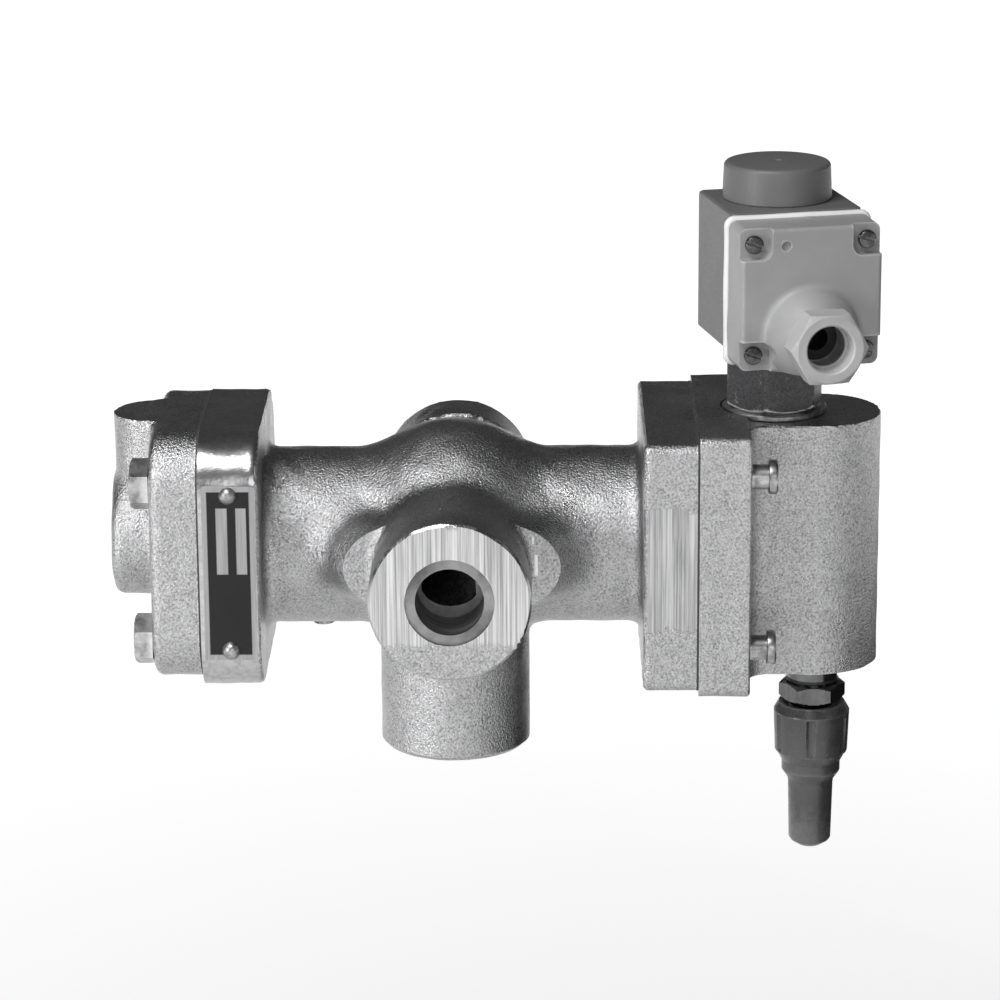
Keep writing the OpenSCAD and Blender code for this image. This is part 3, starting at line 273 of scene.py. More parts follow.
class CoilSizes(bpy.types.PropertyGroup):
    """Sizes of the coil and its terminal cover, in millimetres."""

    corner: bpy.props.FloatProperty(name="Housing corner", description="Corner radius of the coil housing",
                                    default=3.0, min=1, max=6)
    edge: bpy.props.FloatProperty(name="Moulded edge", description="Edge radius of the moulded pieces",
                                  default=1.3, min=0.3, max=3)
    recess: bpy.props.FloatProperty(name="Screw recess", description="Side of a corner recess",
                                    default=11.4, min=9, max=14)
    recess_depth: bpy.props.FloatProperty(name="Recess depth", description="Depth of a corner recess",
                                          default=3.6, min=2, max=5)
    recess_corner: bpy.props.FloatProperty(name="Recess corner",
                                           description="Inner corner radius of a recess", default=4.0,
                                           min=1, max=6)
    screw_x: bpy.props.FloatProperty(name="Cover screw x",
                                     description="Screw distance from the cover's middle", default=21.2,
                                     min=19, max=22)
    screw_z: bpy.props.FloatProperty(name="Cover screw z",
                                     description="Screw height from the cover's middle", default=20.5,
                                     min=19, max=22)
    screw_radius: bpy.props.FloatProperty(name="Cover screw", description="Radius of a cover screw's head",
                                          default=3.3, min=2.5, max=4)
    screw_height: bpy.props.FloatProperty(name="Cover screw head", description="Height of that head",
                                          default=2.4, min=1.5, max=3)
    shank_radius: bpy.props.FloatProperty(name="Cover screw shank", description="Radius of its shank",
                                          default=1.75, min=1.5, max=2)
    slot_width: bpy.props.FloatProperty(name="Slot width", description="Width of the screw slots",
                                        default=1.1, min=0.6, max=1.6)
    slot_turn: bpy.props.FloatProperty(name="Slot turn", description="Turn of the screw slots",
                                       default=math.radians(20.0), min=-1.6, max=1.6, unit="ROTATION",
                                       subtype="ANGLE")
    hub_radius: bpy.props.FloatProperty(name="Hub foot",
                                        description="Radius of the hub where it leaves the cover",
                                        default=17.5, min=15, max=20)
    hub_neck: bpy.props.FloatProperty(name="Hub neck", description="Radius of the hub behind the gland nut",
                                      default=12.05, min=11, max=12.5)
    hub_height: bpy.props.FloatProperty(name="Hub height", description="How far the hub stands out",
                                        default=11.6, min=9, max=14)
    hub_bore: bpy.props.FloatProperty(name="Hub bore", description="Radius of the cable bore",
                                      default=8.0, min=7, max=9)
    gland_flats: bpy.props.FloatProperty(name="Gland flats", description="Gland nut across flats",
                                         default=25.3, min=22, max=27)
    gland_bore: bpy.props.FloatProperty(name="Gland bore", description="Radius of the gland nut's bore",
                                        default=8.5, min=7, max=9)
    gland_neck: bpy.props.FloatProperty(name="Gland neck", description="Radius of the gland nut's neck",
                                        default=9.8, min=9, max=9.84)
    wall: bpy.props.FloatProperty(name="Housing wall", description="Wall of the coil housing",
                                  default=4.0, min=2, max=5)
    room_depth: bpy.props.FloatProperty(name="Winding room", description="Half depth of the winding's room",
                                        default=16.5, min=15, max=18)
    roof: bpy.props.FloatProperty(name="Housing roof", description="Thickness over the winding's room",
                                  default=2.5, min=2, max=4)
    tube_hole: bpy.props.FloatProperty(name="Tube hole", description="Radius of the hole for the tube",
                                       default=7.05, min=7, max=8)


class FinishColours(bpy.types.PropertyGroup):
    """Base colours of the finishes."""

    cast: bpy.props.FloatVectorProperty(name="Cast metal", description="Plated cast metal", subtype="COLOR",
                                        default=(0.42, 0.42, 0.425), min=0, max=1)
    steel: bpy.props.FloatVectorProperty(name="Bright steel", description="Plated steel", subtype="COLOR",
                                         default=(0.48, 0.48, 0.485), min=0, max=1)
    dark_steel: bpy.props.FloatVectorProperty(name="Dark steel", description="Phosphated nut",
                                              subtype="COLOR", default=(0.05, 0.05, 0.052), min=0, max=1)
    fitting: bpy.props.FloatVectorProperty(name="Fitting", description="Plated drain fitting",
                                           subtype="COLOR", default=(0.12, 0.12, 0.123), min=0, max=1)
    housing: bpy.props.FloatVectorProperty(name="Coil plastic", description="Coil housing", subtype="COLOR",
                                           default=(0.135, 0.135, 0.137), min=0, max=1)
    cover: bpy.props.FloatVectorProperty(name="Cover plastic", description="Terminal cover",
                                         subtype="COLOR", default=(0.33, 0.33, 0.332), min=0, max=1)
    gland: bpy.props.FloatVectorProperty(name="Gland plastic", description="Cable gland", subtype="COLOR",
                                         default=(0.45, 0.45, 0.45), min=0, max=1)
    rim: bpy.props.FloatVectorProperty(name="Rim rubber", description="Pale rim gasket", subtype="COLOR",
                                       default=(0.80, 0.80, 0.79), min=0, max=1)
    cap: bpy.props.FloatVectorProperty(name="Cap plastic", description="Drain cap", subtype="COLOR",
                                       default=(0.075, 0.075, 0.077), min=0, max=1)


class StageSettings(bpy.types.PropertyGroup):
    """Floor, lamps and camera."""

    floor_drop: bpy.props.FloatProperty(name="Floor drop", description="Floor below the lowest point",
                                        default=0.3, min=0, max=2, unit="LENGTH", subtype="DISTANCE")
    floor_colour: bpy.props.FloatVectorProperty(name="Floor", description="Pale floor", subtype="COLOR",
                                                default=(0.62, 0.62, 0.62), min=0, max=1)
    floor_glow: bpy.props.FloatProperty(name="Floor white",
                                        description="White added to the floor near the valve", default=0.45,
                                        min=0, max=1)
    side_colour: bpy.props.FloatVectorProperty(name="Side backdrop", description="Dark card to the right",
                                               subtype="COLOR", default=(0.05, 0.05, 0.05), min=0, max=1)
    side_place: bpy.props.FloatProperty(name="Side backdrop place", description="Its distance to the right",
                                        default=0.32, min=0.25, max=2, unit="LENGTH", subtype="DISTANCE")
    world_level: bpy.props.FloatProperty(name="World level", description="Grey of the surroundings",
                                         default=0.07, min=0, max=1)
    elevation: bpy.props.FloatProperty(name="Camera elevation", description="Angle above the horizon",
                                       default=0.2821, min=0, max=1.5, unit="ROTATION", subtype="ANGLE")
    azimuth: bpy.props.FloatProperty(name="Camera azimuth",
                                     description="Turn of the camera round the valve", default=0.0102,
                                     min=-3.2, max=3.2, unit="ROTATION", subtype="ANGLE")
    roll: bpy.props.FloatProperty(name="Camera roll", description="Turn of the camera about its own axis",
                                  default=-0.0068, min=-0.2, max=0.2, unit="ROTATION", subtype="ANGLE")
    distance: bpy.props.FloatProperty(name="Camera distance", description="Camera to the aimed point",
                                      default=1.4764, min=0.5, max=5, unit="LENGTH", subtype="DISTANCE")
    lens: bpy.props.FloatProperty(name="Lens", description="Focal length of the camera in millimetres",
                                  default=140.2, min=20, max=400)
    aim: bpy.props.FloatVectorProperty(name="Aim", description="Point at the middle of the picture",
                                       default=(0.0175, 0.0, 0.0950), unit="LENGTH", subtype="TRANSLATION")


def settings(name):
    """Property group of this scene with the given name."""
    return getattr(bpy.context.scene, name)


def smooth_union(a, b, blend):
    """Smaller of two distances, lowered by blend times h squared over 4, where h = 1 - |a - b| / blend."""
    near = np.maximum(1 - np.abs(a - b) / blend, 0)
    return np.minimum(a, b) - near * near * blend / 4


def crossed(u, v, edge=0.0):
    """Distance to the space where two distances are both negative, with its edge rounded to a radius."""
    u = u + edge
    v = v + edge
    return np.minimum(np.maximum(u, v), 0) + np.hypot(np.maximum(u, 0), np.maximum(v, 0)) - edge


def between(t, start, end):
    """Distance along one axis to a stretch: distance from its middle less half its length."""
    return np.abs(t - (start + end) / 2) - (end - start) / 2


def corner_holes(y, z, span, pitch):
    """Distance to the nearest of four axes along X, at the corners of a rectangle of span by pitch."""
    return np.hypot(np.abs(y) - span / 2, np.abs(z) - pitch / 2)


def round_square(u, v, width, height, corner):
    """Distance to a flat rectangle with round corners, centred at zero."""
    return crossed(np.abs(u) - width / 2, np.abs(v) - height / 2, corner)


def cast_wave(x, y, z, depth):
    """Uneven cast skin: a sum of two products of bent sine waves, scaled to lie between 0 and depth."""
    wave = np.sin(x / 3.1 + np.sin(z / 4.3)) * np.sin(y / 2.7 + 1.3 * np.sin(x / 4.9))
    wave = wave + np.sin(z / 3.5 + np.sin(y / 3.9)) * np.sin((x + y) / 4.1)
    return depth * (0.5 + 0.25 * wave)


def contour(field, low, high, cube):
    """Faces where field(x, y, z) is zero, traced through a lattice of cubes.

    Each lattice edge whose ends differ in sign gives a crossing point, its normal and one face between the
    four cubes around it. A cube's vertex is the point nearest, by least squares, to the tangent planes of its
    crossings, held near their mean and inside the cube, so that flat faces stay flat and edges stay sharp.
    """
    low = np.asarray(low, float) - 1.37 * cube
    counts = np.ceil((np.asarray(high, float) - low) / cube).astype(int) + 3
    strides = np.array([counts[1] * counts[2], counts[2], 1])
    lines = [low[k] + cube * np.arange(counts[k]) for k in range(3)]
    value = field(*np.meshgrid(*lines, indexing="ij"))
    inside = value < 0
    value = value.ravel()
    unit = np.eye(3, dtype=int)
    owners, crossings, normals = [], [], []
    for k in range(3):
        node = np.argwhere(np.diff(inside, axis=k))
        index = node @ strides
        first, last = value[index], value[index + strides[k]]
        leaving = first < 0
        start, end = np.zeros(len(node)), np.ones(len(node))
        point = low + node * cube
        base = point[:, k].copy()
        for _ in range(4):
            share = (first * end - last * start) / (first - last)
            point[:, k] = base + share * cube
            here = field(*point.T)
            same = (here < 0) == (first < 0)
            start, first = np.where(same, share, start), np.where(same, here, first)
            end, last = np.where(same, end, share), np.where(same, last, here)
        small = 0.02 * cube
        slope = [field(*(point + small * unit[i]).T) - field(*(point - small * unit[i]).T) for i in range(3)]
        slope = np.stack(slope, 1)
        normals.append(slope / np.maximum(np.linalg.norm(slope, axis=1, keepdims=True), 1e-9))
        crossings.append(point)
        u, v = unit[(k + 1) % 3], unit[(k + 2) % 3]
        ring = np.stack([(node - u - v) @ strides, (node - v) @ strides, index, (node - u) @ strides], 1)
        owners.append(np.where(leaving[:, None], ring, ring[:, ::-1]))
    owners, crossings, normals = map(np.concatenate, (owners, crossings, normals))
    cells, faces = np.unique(owners.ravel(), return_inverse=True)
    faces = faces.reshape(-1, 4)
    size = len(cells)

    def total(amount):
        return np.bincount(faces.ravel(), np.repeat(amount, 4), size)

    count = total(np.ones(len(crossings)))
    mean = np.stack([total(crossings[:, i]) for i in range(3)], 1) / count[:, None]
    plane = np.einsum("ij,ij->i", normals, crossings)
    matrix = np.empty((size, 3, 3))
    for i in range(3):
        for j in range(i, 3):
            matrix[:, i, j] = matrix[:, j, i] = total(normals[:, i] * normals[:, j])
    right = np.stack([total(normals[:, i] * plane) for i in range(3)], 1)
    right -= np.einsum("nij,nj->ni", matrix, mean)
    shift = np.linalg.solve(matrix + 0.04 * np.eye(3), right[:, :, None])[:, :, 0]
    centre = low + (np.stack(np.unravel_index(cells, counts), 1) + 0.5) * cube
    return np.clip(mean + shift, centre - 0.5 * cube, centre + 0.5 * cube), faces


def grid_faces(rows, columns, closed=False):
    """Quads of a grid stored in rows, each row a closed ring; closed joins the last row to the first."""
    row = np.arange(rows if closed else rows - 1)[:, None]
    column = np.arange(columns)
    after = (column + 1) % columns
    above = (row + 1) % rows
    quads = [row * columns + column, row * columns + after, above * columns + after, above * columns + column]
    return np.stack(quads, -1).reshape(-1, 4)


def hex_radius(angle, flats):
    """Axis to a hexagon's side: half the flats over the cosine of the angle from the nearest flat."""
    turn = (angle + math.pi / 6) % (math.pi / 3) - math.pi / 6
    return flats / 2 / np.cos(turn)


def lathe(profile, steps=72, shape=None, closed=False):
    """Rings round Z: (r cos a, r sin a, h) for each profile pair (r, h), with r = shape(a, r, h) if given."""
    profile = np.asarray(profile, float)
    angle = np.arange(steps) * 2 * math.pi / steps
    radius, height = np.repeat(profile[:, :1], steps, 1), np.repeat(profile[:, 1:], steps, 1)
    if shape is not None:
        radius = shape(angle[None, :], radius, height)
    points = np.stack([radius * np.cos(angle), radius * np.sin(angle), height], -1)
    return points.reshape(-1, 3), grid_faces(len(profile), steps, closed)


def chamfer(flats, height, rise, steps=7):
    """Pairs (r, h) on a 30 degree cone from past a hexagon's corners to 0.96 of its flats, rise 1 or -1."""
    radius = np.linspace(0.64 * flats, 0.48 * flats, steps)
    return [(r, height - rise * (r - 0.48 * flats) * math.tan(math.pi / 6)) for r in radius]


def arc(centre, radius, start, end, steps=6):
    """Points (r, h) on a circle about a centre, from one angle in degrees to another."""
    angle = np.radians(np.linspace(start, end, steps + 1))
    return [(centre[0] + radius * math.cos(a), centre[1] + radius * math.sin(a)) for a in angle]


def stand(points, origin, along, side=(0.0, 0.0, 1.0)):
    """Moves points from their own frame, axis on Z, to an origin with the axis pointing along a direction."""
    along = np.asarray(along, float) / np.linalg.norm(along)
    across = np.cross(side, along)
    if np.linalg.norm(across) < 1e-6:
        across = np.array([1.0, 0.0, 0.0])
    across = across / np.linalg.norm(across)
    return np.asarray(origin) + points @ np.stack([across, np.cross(along, across), along])


def coil_place(points):
    """Turns points from the coil's own frame into the valve's frame."""
    cos, sin = math.cos(COIL_TURN), math.sin(COIL_TURN)
    x, y, z = points.T
    return np.stack([PILOT_X + x * cos - y * sin, x * sin + y * cos, z], 1)


def joined(parts):
    """One list of points and faces from several."""
    points, faces, offset = [], [], 0
    for some_points, some_faces in parts:
        points.append(some_points)
        faces.append(some_faces + offset)
        offset += len(some_points)
    return np.concatenate(points), np.concatenate(faces)


def store_edge(mesh):
    """Attribute edge: how far a vertex stands out of its neighbours' mean, over their distance."""
    count = len(mesh.vertices)
    points, normals = np.empty(count * 3), np.empty(count * 3)
    mesh.vertices.foreach_get("co", points)
    mesh.vertex_normals.foreach_get("vector", normals)
    points, normals = points.reshape(-1, 3), normals.reshape(-1, 3)
    ends = np.empty(len(mesh.edges) * 2, np.int32)
    mesh.edges.foreach_get("vertices", ends)
    first, last = ends.reshape(-1, 2).T
    here, there = np.concatenate([first, last]), np.concatenate([last, first])
    away = points[here] - points[there]
    near = np.maximum(np.bincount(here, minlength=count), 1)
    reach = np.bincount(here, np.linalg.norm(away, axis=1), count) / near
    out = np.bincount(here, np.einsum("ij,ij->i", away, normals[here]), count) / near
    edge = out / np.maximum(reach, 1e-9)
    edge = (edge + np.bincount(here, edge[there], count) / near) / 2
    mesh.attributes.new("edge", "FLOAT", "POINT").data.foreach_set("value", edge.astype(np.float32))


def make_piece(name, shape, finishes, body, replaced, sharp=34.0):
    """Mesh object from points in millimetres and faces, welded, closed and riding on its body."""
    points, faces = shape
    mesh = bpy.data.meshes.new(name)
    mesh.from_pydata((points * MM).tolist(), [], faces.tolist())
    work = bmesh.new()
    work.from_mesh(mesh)
    bmesh.ops.remove_doubles(work, verts=work.verts, dist=WELD)
    if len(faces) < RECALC_LIMIT:
        bmesh.ops.recalc_face_normals(work, faces=work.faces)
    work.to_mesh(mesh)
    work.free()
    mesh.shade_smooth()
    mesh.set_sharp_from_angle(angle=math.radians(sharp))
    store_edge(mesh)
    item = bpy.data.objects.new(name, mesh)
    bpy.context.scene.collection.objects.link(item)
    for material in finishes:
        mesh.materials.append(material)
    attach(item, body)
    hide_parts(*replaced)
    return item


def make_casting(name, field, node, cube, finishes, choose, body="valve"):
    """Contoured casting in place of its node; choose gives each face's finish from its centre and normal."""
    low, high = spans(node)
    shape = contour(field, low, high, cube)
    points, faces = shape
    corners = points[faces]
    normals = np.cross(corners[:, 2] - corners[:, 0], corners[:, 3] - corners[:, 1])
    normals /= np.maximum(np.linalg.norm(normals, axis=1, keepdims=True), 1e-9)
    item = make_piece(name, shape, [make() for make in finishes], body, [node])
    index = choose(corners.mean(1) - [0, 0, AXIS_Z], normals).astype(np.int32)
    if len(index) != len(item.data.polygons):
        raise RuntimeError(name + " lost faces when it was welded")
    item.data.polygons.foreach_set("material_index", index)
    return item


def body_field():
    """Distance field of the body: cast forms joined with fillets, then cut by machined planes and bores."""
    size = settings("valve_castings")
    low, high = spans("valve_body")
    reach = high[1]
    recess = reach - abs(MOUNTS["low_pressure_port"]["pos_m"][1]) / MM
    bore_end = reach - recess - PORT_DEPTH
    left_width = 2 * (high[2] - AXIS_Z)
    angle = math.atan2(size.passage_reach, bore_end - 0.8 * size.main_bore)
    sin, cos = math.sin(angle), math.cos(angle)
    passage_length = size.passage_reach / sin

    def passage(across, front, z, radius, edge, start=0.0):
        """Rod from the end of a port bore to the main bore, in plan at the passage's angle."""
        along = across * sin + (bore_end - front) * cos
        aside = across * cos + (front - bore_end) * sin
        return crossed(np.hypot(aside, z) - radius, between(along, start, passage_length), edge)

    def field(x, y, z):
        z = z - AXIS_Z
        front = np.abs(y)
        ring = np.hypot(x, z)
        radial = np.hypot(y, z)
        plan = np.hypot(x, y)
        bulge = crossed(ring - size.bulge_radius, front - size.bulge_depth, size.bulge_round)
        cast = smooth_union(radial - size.tube_radius, bulge, size.fillet)
        cast = smooth_union(cast, passage(np.abs(x), front, z, size.passage_radius, 4), size.fillet)
        cast = np.maximum(cast, -y - size.ground_reach)
        for width, height, corner, start, end in (
            (left_width, left_width, size.left_corner, low[0] - PAST, low[0] + size.left_flange),
            (size.right_depth, size.right_height, size.right_corner,
             high[0] - size.right_flange, high[0] + PAST),
        ):
            outline = round_square(y, z, width, height, corner)
            flange = crossed(outline, between(x, start, end), size.flange_edge)
            cast = smooth_union(cast, flange, size.fillet * 0.9)
        side = ring - size.collar_radius
        neck = crossed(side + size.collar_step, front - reach + size.collar_length / 2, 1)
        collar = crossed(side, between(front, reach - size.collar_length, reach + PAST), 1.2)
        collar = np.maximum(collar, (side + front - reach + 0.8) / math.sqrt(2))
        cast = smooth_union(cast, np.minimum(neck, collar), size.fillet * 0.7)
        neck = crossed(plan - size.common_radius, between(z, -AXIS_Z - PAST, 0))
        neck = np.maximum(neck, (plan - size.common_radius - z - AXIS_Z + 1.6) / math.sqrt(2))
        cast = smooth_union(cast, neck, size.fillet * 0.7)
        pad = np.hypot(x - size.pad_x, y) - size.pad_radius
        pad = crossed(pad, between(z, -size.tube_radius - 1.6, 0), 0.3)
        cast = np.minimum(cast, pad) + cast_wave(x, y, z, size.wave)
        cut = np.maximum(cast, np.maximum(low[0] - x, x - high[0]))
        cut = np.maximum(cut, np.maximum(front - reach, -AXIS_Z - z))
        bores = crossed(ring - PORT_RADIUS, between(front, bore_end, reach + PAST))
        turned = crossed(ring - size.recess_radius, between(front, reach - recess, reach + PAST))
        bores = np.minimum(bores, turned)
        bores = np.minimum(bores, radial - size.main_bore)
        bores = np.minimum(bores, passage(np.where(y < 0, -x, x), front, z, size.passage_bore, 0, -6))
        common = crossed(plan - PORT_RADIUS, between(z, -AXIS_Z - PAST, PORT_DEPTH - AXIS_Z))
        bores = np.minimum(bores, common)
        bores = np.minimum(bores, crossed(plan - PORT_RADIUS + 1.5, between(z, -AXIS_Z, 0)))
        fittings = settings("valve_fittings")
        for span, pitch, radius, start, end in (
            (fittings.bolt_span, fittings.bolt_pitch, fittings.bolt_radius,
             low[0] - PAST, low[0] + size.left_flange - 2),
            (fittings.screw_span, fittings.screw_pitch, fittings.screw_radius,
             high[0] - size.right_flange + 3, high[0] + PAST),
        ):
            hole = corner_holes(y, z, span, pitch) - radius - HOLE_GAP
            bores = np.minimum(bores, crossed(hole, between(x, start, end)))
        return np.maximum(cut, -bores)

    def choose(centre, normal):
        """0 cast skin, 1 ground lines, 2 turned, 3 faced flat, 4 rubbed flange rim, 5 part-ground front."""
        x, y, z = centre.T
        index = np.zeros(len(centre))
        rim = np.maximum(np.abs(y), np.abs(z)) > size.tube_radius + 6
        index[rim & (x < low[0] + size.left_flange - 1) & (np.abs(normal[:, 0]) < 0.7)] = 4
        flange_front = (x > high[0] - size.right_flange) & (y < 0.47 - size.right_depth / 2)
        index[flange_front & (normal[:, 1] < -0.95)] = 5
        index[(np.abs(y) > reach - 0.9) & (np.hypot(x, z) > size.recess_radius - 0.2)] = 1
        index[(np.abs(y + size.ground_reach) < 0.05) & (normal[:, 1] < -0.98)] = 1
        index[(np.hypot(x, z) < size.recess_radius + 0.1) & (np.abs(y) > bore_end - 1)] = 2
        index[np.hypot(y, z) < size.main_bore + 0.1] = 2
        index[(np.hypot(x, y) < PORT_RADIUS + 0.1) & (z < size.main_bore - AXIS_Z + 40)] = 2
        index[(z < 0.05 - AXIS_Z) | (x < low[0] + 0.05) | (x > high[0] - 0.05)] = 3
        return index

    return field, choose


def left_cover_field():
    """Distance field of the left cover: plate with a rolled edge, round spring boss and upright column."""
    size = settings("valve_castings")
    fittings = settings("valve_fittings")
    low, high = spans("left_cover")
    guide_low, guide_high = spans("stem_guide_left")
    gasket_low, gasket_high = spans("left_gasket")
    width = gasket_high[1] - gasket_low[1]
    rise = (gasket_low[2] + gasket_high[2]) / 2 - AXIS_Z
    face = spans("left_cover_bolts")[0][0] + size.bolt_head
    column_x = low[0] + 0.8 + size.column_radius
    top = high[2] - AXIS_Z

    def field(x, y, z):
        z = z - AXIS_Z
        radial = np.hypot(y, z)
        outline = round_square(y, z - rise, width, width, size.left_corner)
        plate = crossed(outline, between(x, face, high[0] + PAST), size.cover_edge)
        boss = crossed(radial - size.spring_boss, between(x, low[0], high[0]), 4)
        column = crossed(np.hypot(x - column_x, y) - size.column_radius, between(z, -4, top), 1.0)
        cast = smooth_union(smooth_union(boss, column, 6), plate, 5) + cast_wave(x, y, z, size.wave)
        cut = np.maximum(np.maximum(cast, x - high[0]), np.maximum(z - top, low[0] - x))
        corner = corner_holes(y, z, fittings.bolt_span, fittings.bolt_pitch)
        bores = np.minimum(corner - fittings.bolt_radius - 0.25, crossed(corner - size.spot_radius, x - face))
        guide = np.hypot(y, z) - (guide_high[1] - guide_low[1]) / 2 - HOLE_GAP
        bores = np.minimum(bores, crossed(guide, between(x, guide_low[0], high[0] + PAST)))
        bores = np.minimum(bores, crossed(radial - 6, between(x, guide_low[0] - 22, high[0])))
        return np.maximum(cut, -bores)

    def choose(centre, normal):
        """0 cast skin, 1 faced flat on the joint and under the bolt heads."""
        x, y, z = centre.T
        corner = corner_holes(y, z, fittings.bolt_span, fittings.bolt_pitch)
        faced = (x > high[0] - 0.05) | (np.hypot(y, z) < WELL_RADIUS) & (x > guide_low[0] - WELL_DEPTH)
        faced |= (corner < size.spot_radius + 0.2) & (np.abs(x - face) < 0.1)
        return np.where(faced, 1, 0)

    return field, choose


def pilot_head_field():
    """Distance field of the pilot head: square plate, D-shaped upright body and a fillet between them."""
    size = settings("valve_castings")
    fittings = settings("valve_fittings")
    low, high = spans("right_cover")
    bolts_high = spans("right_cover_bolts")[1][0]
    face = bolts_high - fittings.neck_length - size.screw_head
    half = (high[1] - low[1]) / 2
    body_r = size.head_radius
    round_x = high[0] - body_r
    top = spans("pilot_washer")[0][2] - AXIS_Z
    foot = size.head_foot
    washer_low, washer_high = spans("pilot_washer")
    spot = (washer_high[0] - washer_low[0]) / 2 + 1

    def field(x, y, z):
        z = z - AXIS_Z
        outline_yz = round_square(y, z, 2 * half, 2 * half, 4)
        plate = crossed(outline_yz, between(x, low[0] - PAST, face), 1.5)
        outline = np.hypot(np.maximum(x - round_x, 0), y) - body_r
        outline = smooth_union(outline, x - face, size.head_fillet)
        body = crossed(outline, between(z, foot, top), 1.2)
        cast = np.minimum(plate, np.maximum(body, outline_yz + 1)) + cast_wave(x, y, z, size.wave)
        cut = np.maximum(np.maximum(cast, low[0] - x), np.maximum(z - half, x - high[0]))
        plan = np.hypot(x - PILOT_X, y)
        bores = crossed(plan - spot, top - z)
        bores = np.minimum(bores, crossed(plan - size.neck_hole, size.neck_floor - z))
        bores = np.minimum(bores, crossed(np.hypot(y, z) - size.cylinder, x - round_x - 5))
        drain = np.hypot(x - DRAIN_X, y)
        bores = np.minimum(bores, crossed(drain - DRAIN_HOLE, z - foot - DRAIN_DEPTH))
        corner = corner_holes(y, z, fittings.screw_span, fittings.screw_pitch)
        bores = np.minimum(bores, corner - fittings.screw_radius - 0.25)
        return np.maximum(cut, -bores)

    def choose(centre, normal):
        """0 cast skin, 1 faced flat on the joint, the top spot face and in the cylinder."""
        x, y, z = centre.T
        faced = (x < low[0] + 0.05) | (np.hypot(x - PILOT_X, y) < spot + 0.1) & (np.abs(z - top) < 0.05)
        faced |= (np.hypot(y, z) < size.cylinder + 0.1) & (x < round_x + 5.1)
        return np.where(faced, 1, 0)

    return field, choose


def four_at(shape, span, pitch, x, along):
    """Copies of one fastener, its axis on Z, at the four corners of a rectangle on a face at x."""
    points, faces = shape
    places = [(x, side * span / 2, AXIS_Z + level * pitch / 2) for side in (-1, 1) for level in (-1, 1)]
    return joined([(stand(points, place, along), faces) for place in places])


def left_bolt_shape():
    """Hexagon bolt: shank, head cut by a 30 degree cone at its outer end, top dished by a shallow ring."""
    size = settings("valve_castings")
    fittings = settings("valve_fittings")
    low, high = spans("left_cover_bolts")
    height, flats, radius = size.bolt_head, fittings.bolt_flats, fittings.bolt_radius
    end = low[0] + height - high[0]
    cone = chamfer(flats, height, 1)
    profile = [(0, end), (radius - 0.8, end), (radius, end + 0.8), (radius, 0), (0.6 * flats, 0.0), *cone,
               (cone[-1][0] - 0.7, height), (cone[-1][0] - 1.1, height - 0.25), (0, height - 0.25)]

    def hexagon(angle, r, h):
        return np.where(h > -0.1, np.minimum(r, hex_radius(angle, flats)), r)

    return lathe(profile, 72, hexagon)


def right_screw_shape():
    """Screw with a plain neck, a round collar head with a rolled edge and a hexagon socket."""
    size = settings("valve_castings")
    fittings = settings("valve_fittings")
    low, high = spans("right_cover_bolts")
    neck, collar, radius = fittings.neck_radius, fittings.collar_radius, fittings.screw_radius
    top = fittings.neck_length + size.screw_head
    end = low[0] - high[0] + top
    floor = fittings.neck_length + 0.1
    flats = fittings.socket_flats
    seat = top - size.screw_head
    profile = [(0, end), (radius - 0.6, end), (radius, end + 0.6), (radius, 0), (neck, 0), (neck, seat),
               *arc((collar - 0.5, seat + 0.5), 0.5, -90, 0, 3),
               *arc((collar - 1.0, top - 1.0), 1.0, 0, 90, 4), (0.62 * flats, top), (0.57 * flats, top - 0.4),
               (0.57 * flats, floor), (0, floor - 0.05)]

    def socket(angle, r, h):
        inner = (h > floor - 0.01) & (r < 0.6 * flats) & (r > 0.1)
        return np.where(inner, np.minimum(r, hex_radius(angle, flats)), r)

    return lathe(profile, 72, socket)


def washer_shape():
    """Flat ring with small chamfers on its four edges."""
    low, high = spans("pilot_washer")
    outer = (high[0] - low[0]) / 2
    inner = settings("valve_fittings").nut_neck + 0.25
    cut = 0.35
    profile = [(inner, low[2] + cut), (inner + cut, low[2]), (outer - cut, low[2]), (outer, low[2] + cut),
               (outer, high[2] - cut), (outer - cut, high[2]), (inner + cut, high[2]), (inner, high[2] - cut)]
    points, faces = lathe(profile, 96, closed=True)
    return points + [PILOT_X, 0, 0], faces


def pilot_nut_shape():
    """Hexagon nut with a cone at each end, its corners eased by a narrow flat, over a round neck."""
    fittings = settings("valve_fittings")
    low, high = spans("pilot_nut")
    flats, neck, bore = fittings.nut_flats, fittings.nut_neck, fittings.nut_bore
    seat = spans("pilot_washer")[1][2]
    flange_low, flange_high = spans("tube_seal")
    room = (flange_high[0] - flange_low[0]) / 2 + HOLE_GAP
    profile = [(room, low[2]), (neck - 0.4, low[2]), (neck, low[2] + 0.4), (neck, seat),
               *chamfer(flats, seat, -1)[::-1], *chamfer(flats, high[2], 1), (bore + 0.6, high[2]),
               (bore, high[2] - 0.6), (bore, low[2] + 3), (room, low[2] + 3)]

    def hexagon(angle, r, h):
        eased = np.minimum(hex_radius(angle, flats), 0.985 * flats / 2 / math.cos(math.pi / 6))
        return np.minimum(r, eased)

    points, faces = lathe(profile, 216, hexagon, closed=True)
    turn = fittings.nut_turn + math.pi / 6
    cos, sin = math.cos(turn), math.sin(turn)
    x, y, z = points.T
    return np.stack([PILOT_X + x * cos - y * sin, x * sin + y * cos, z], 1), faces


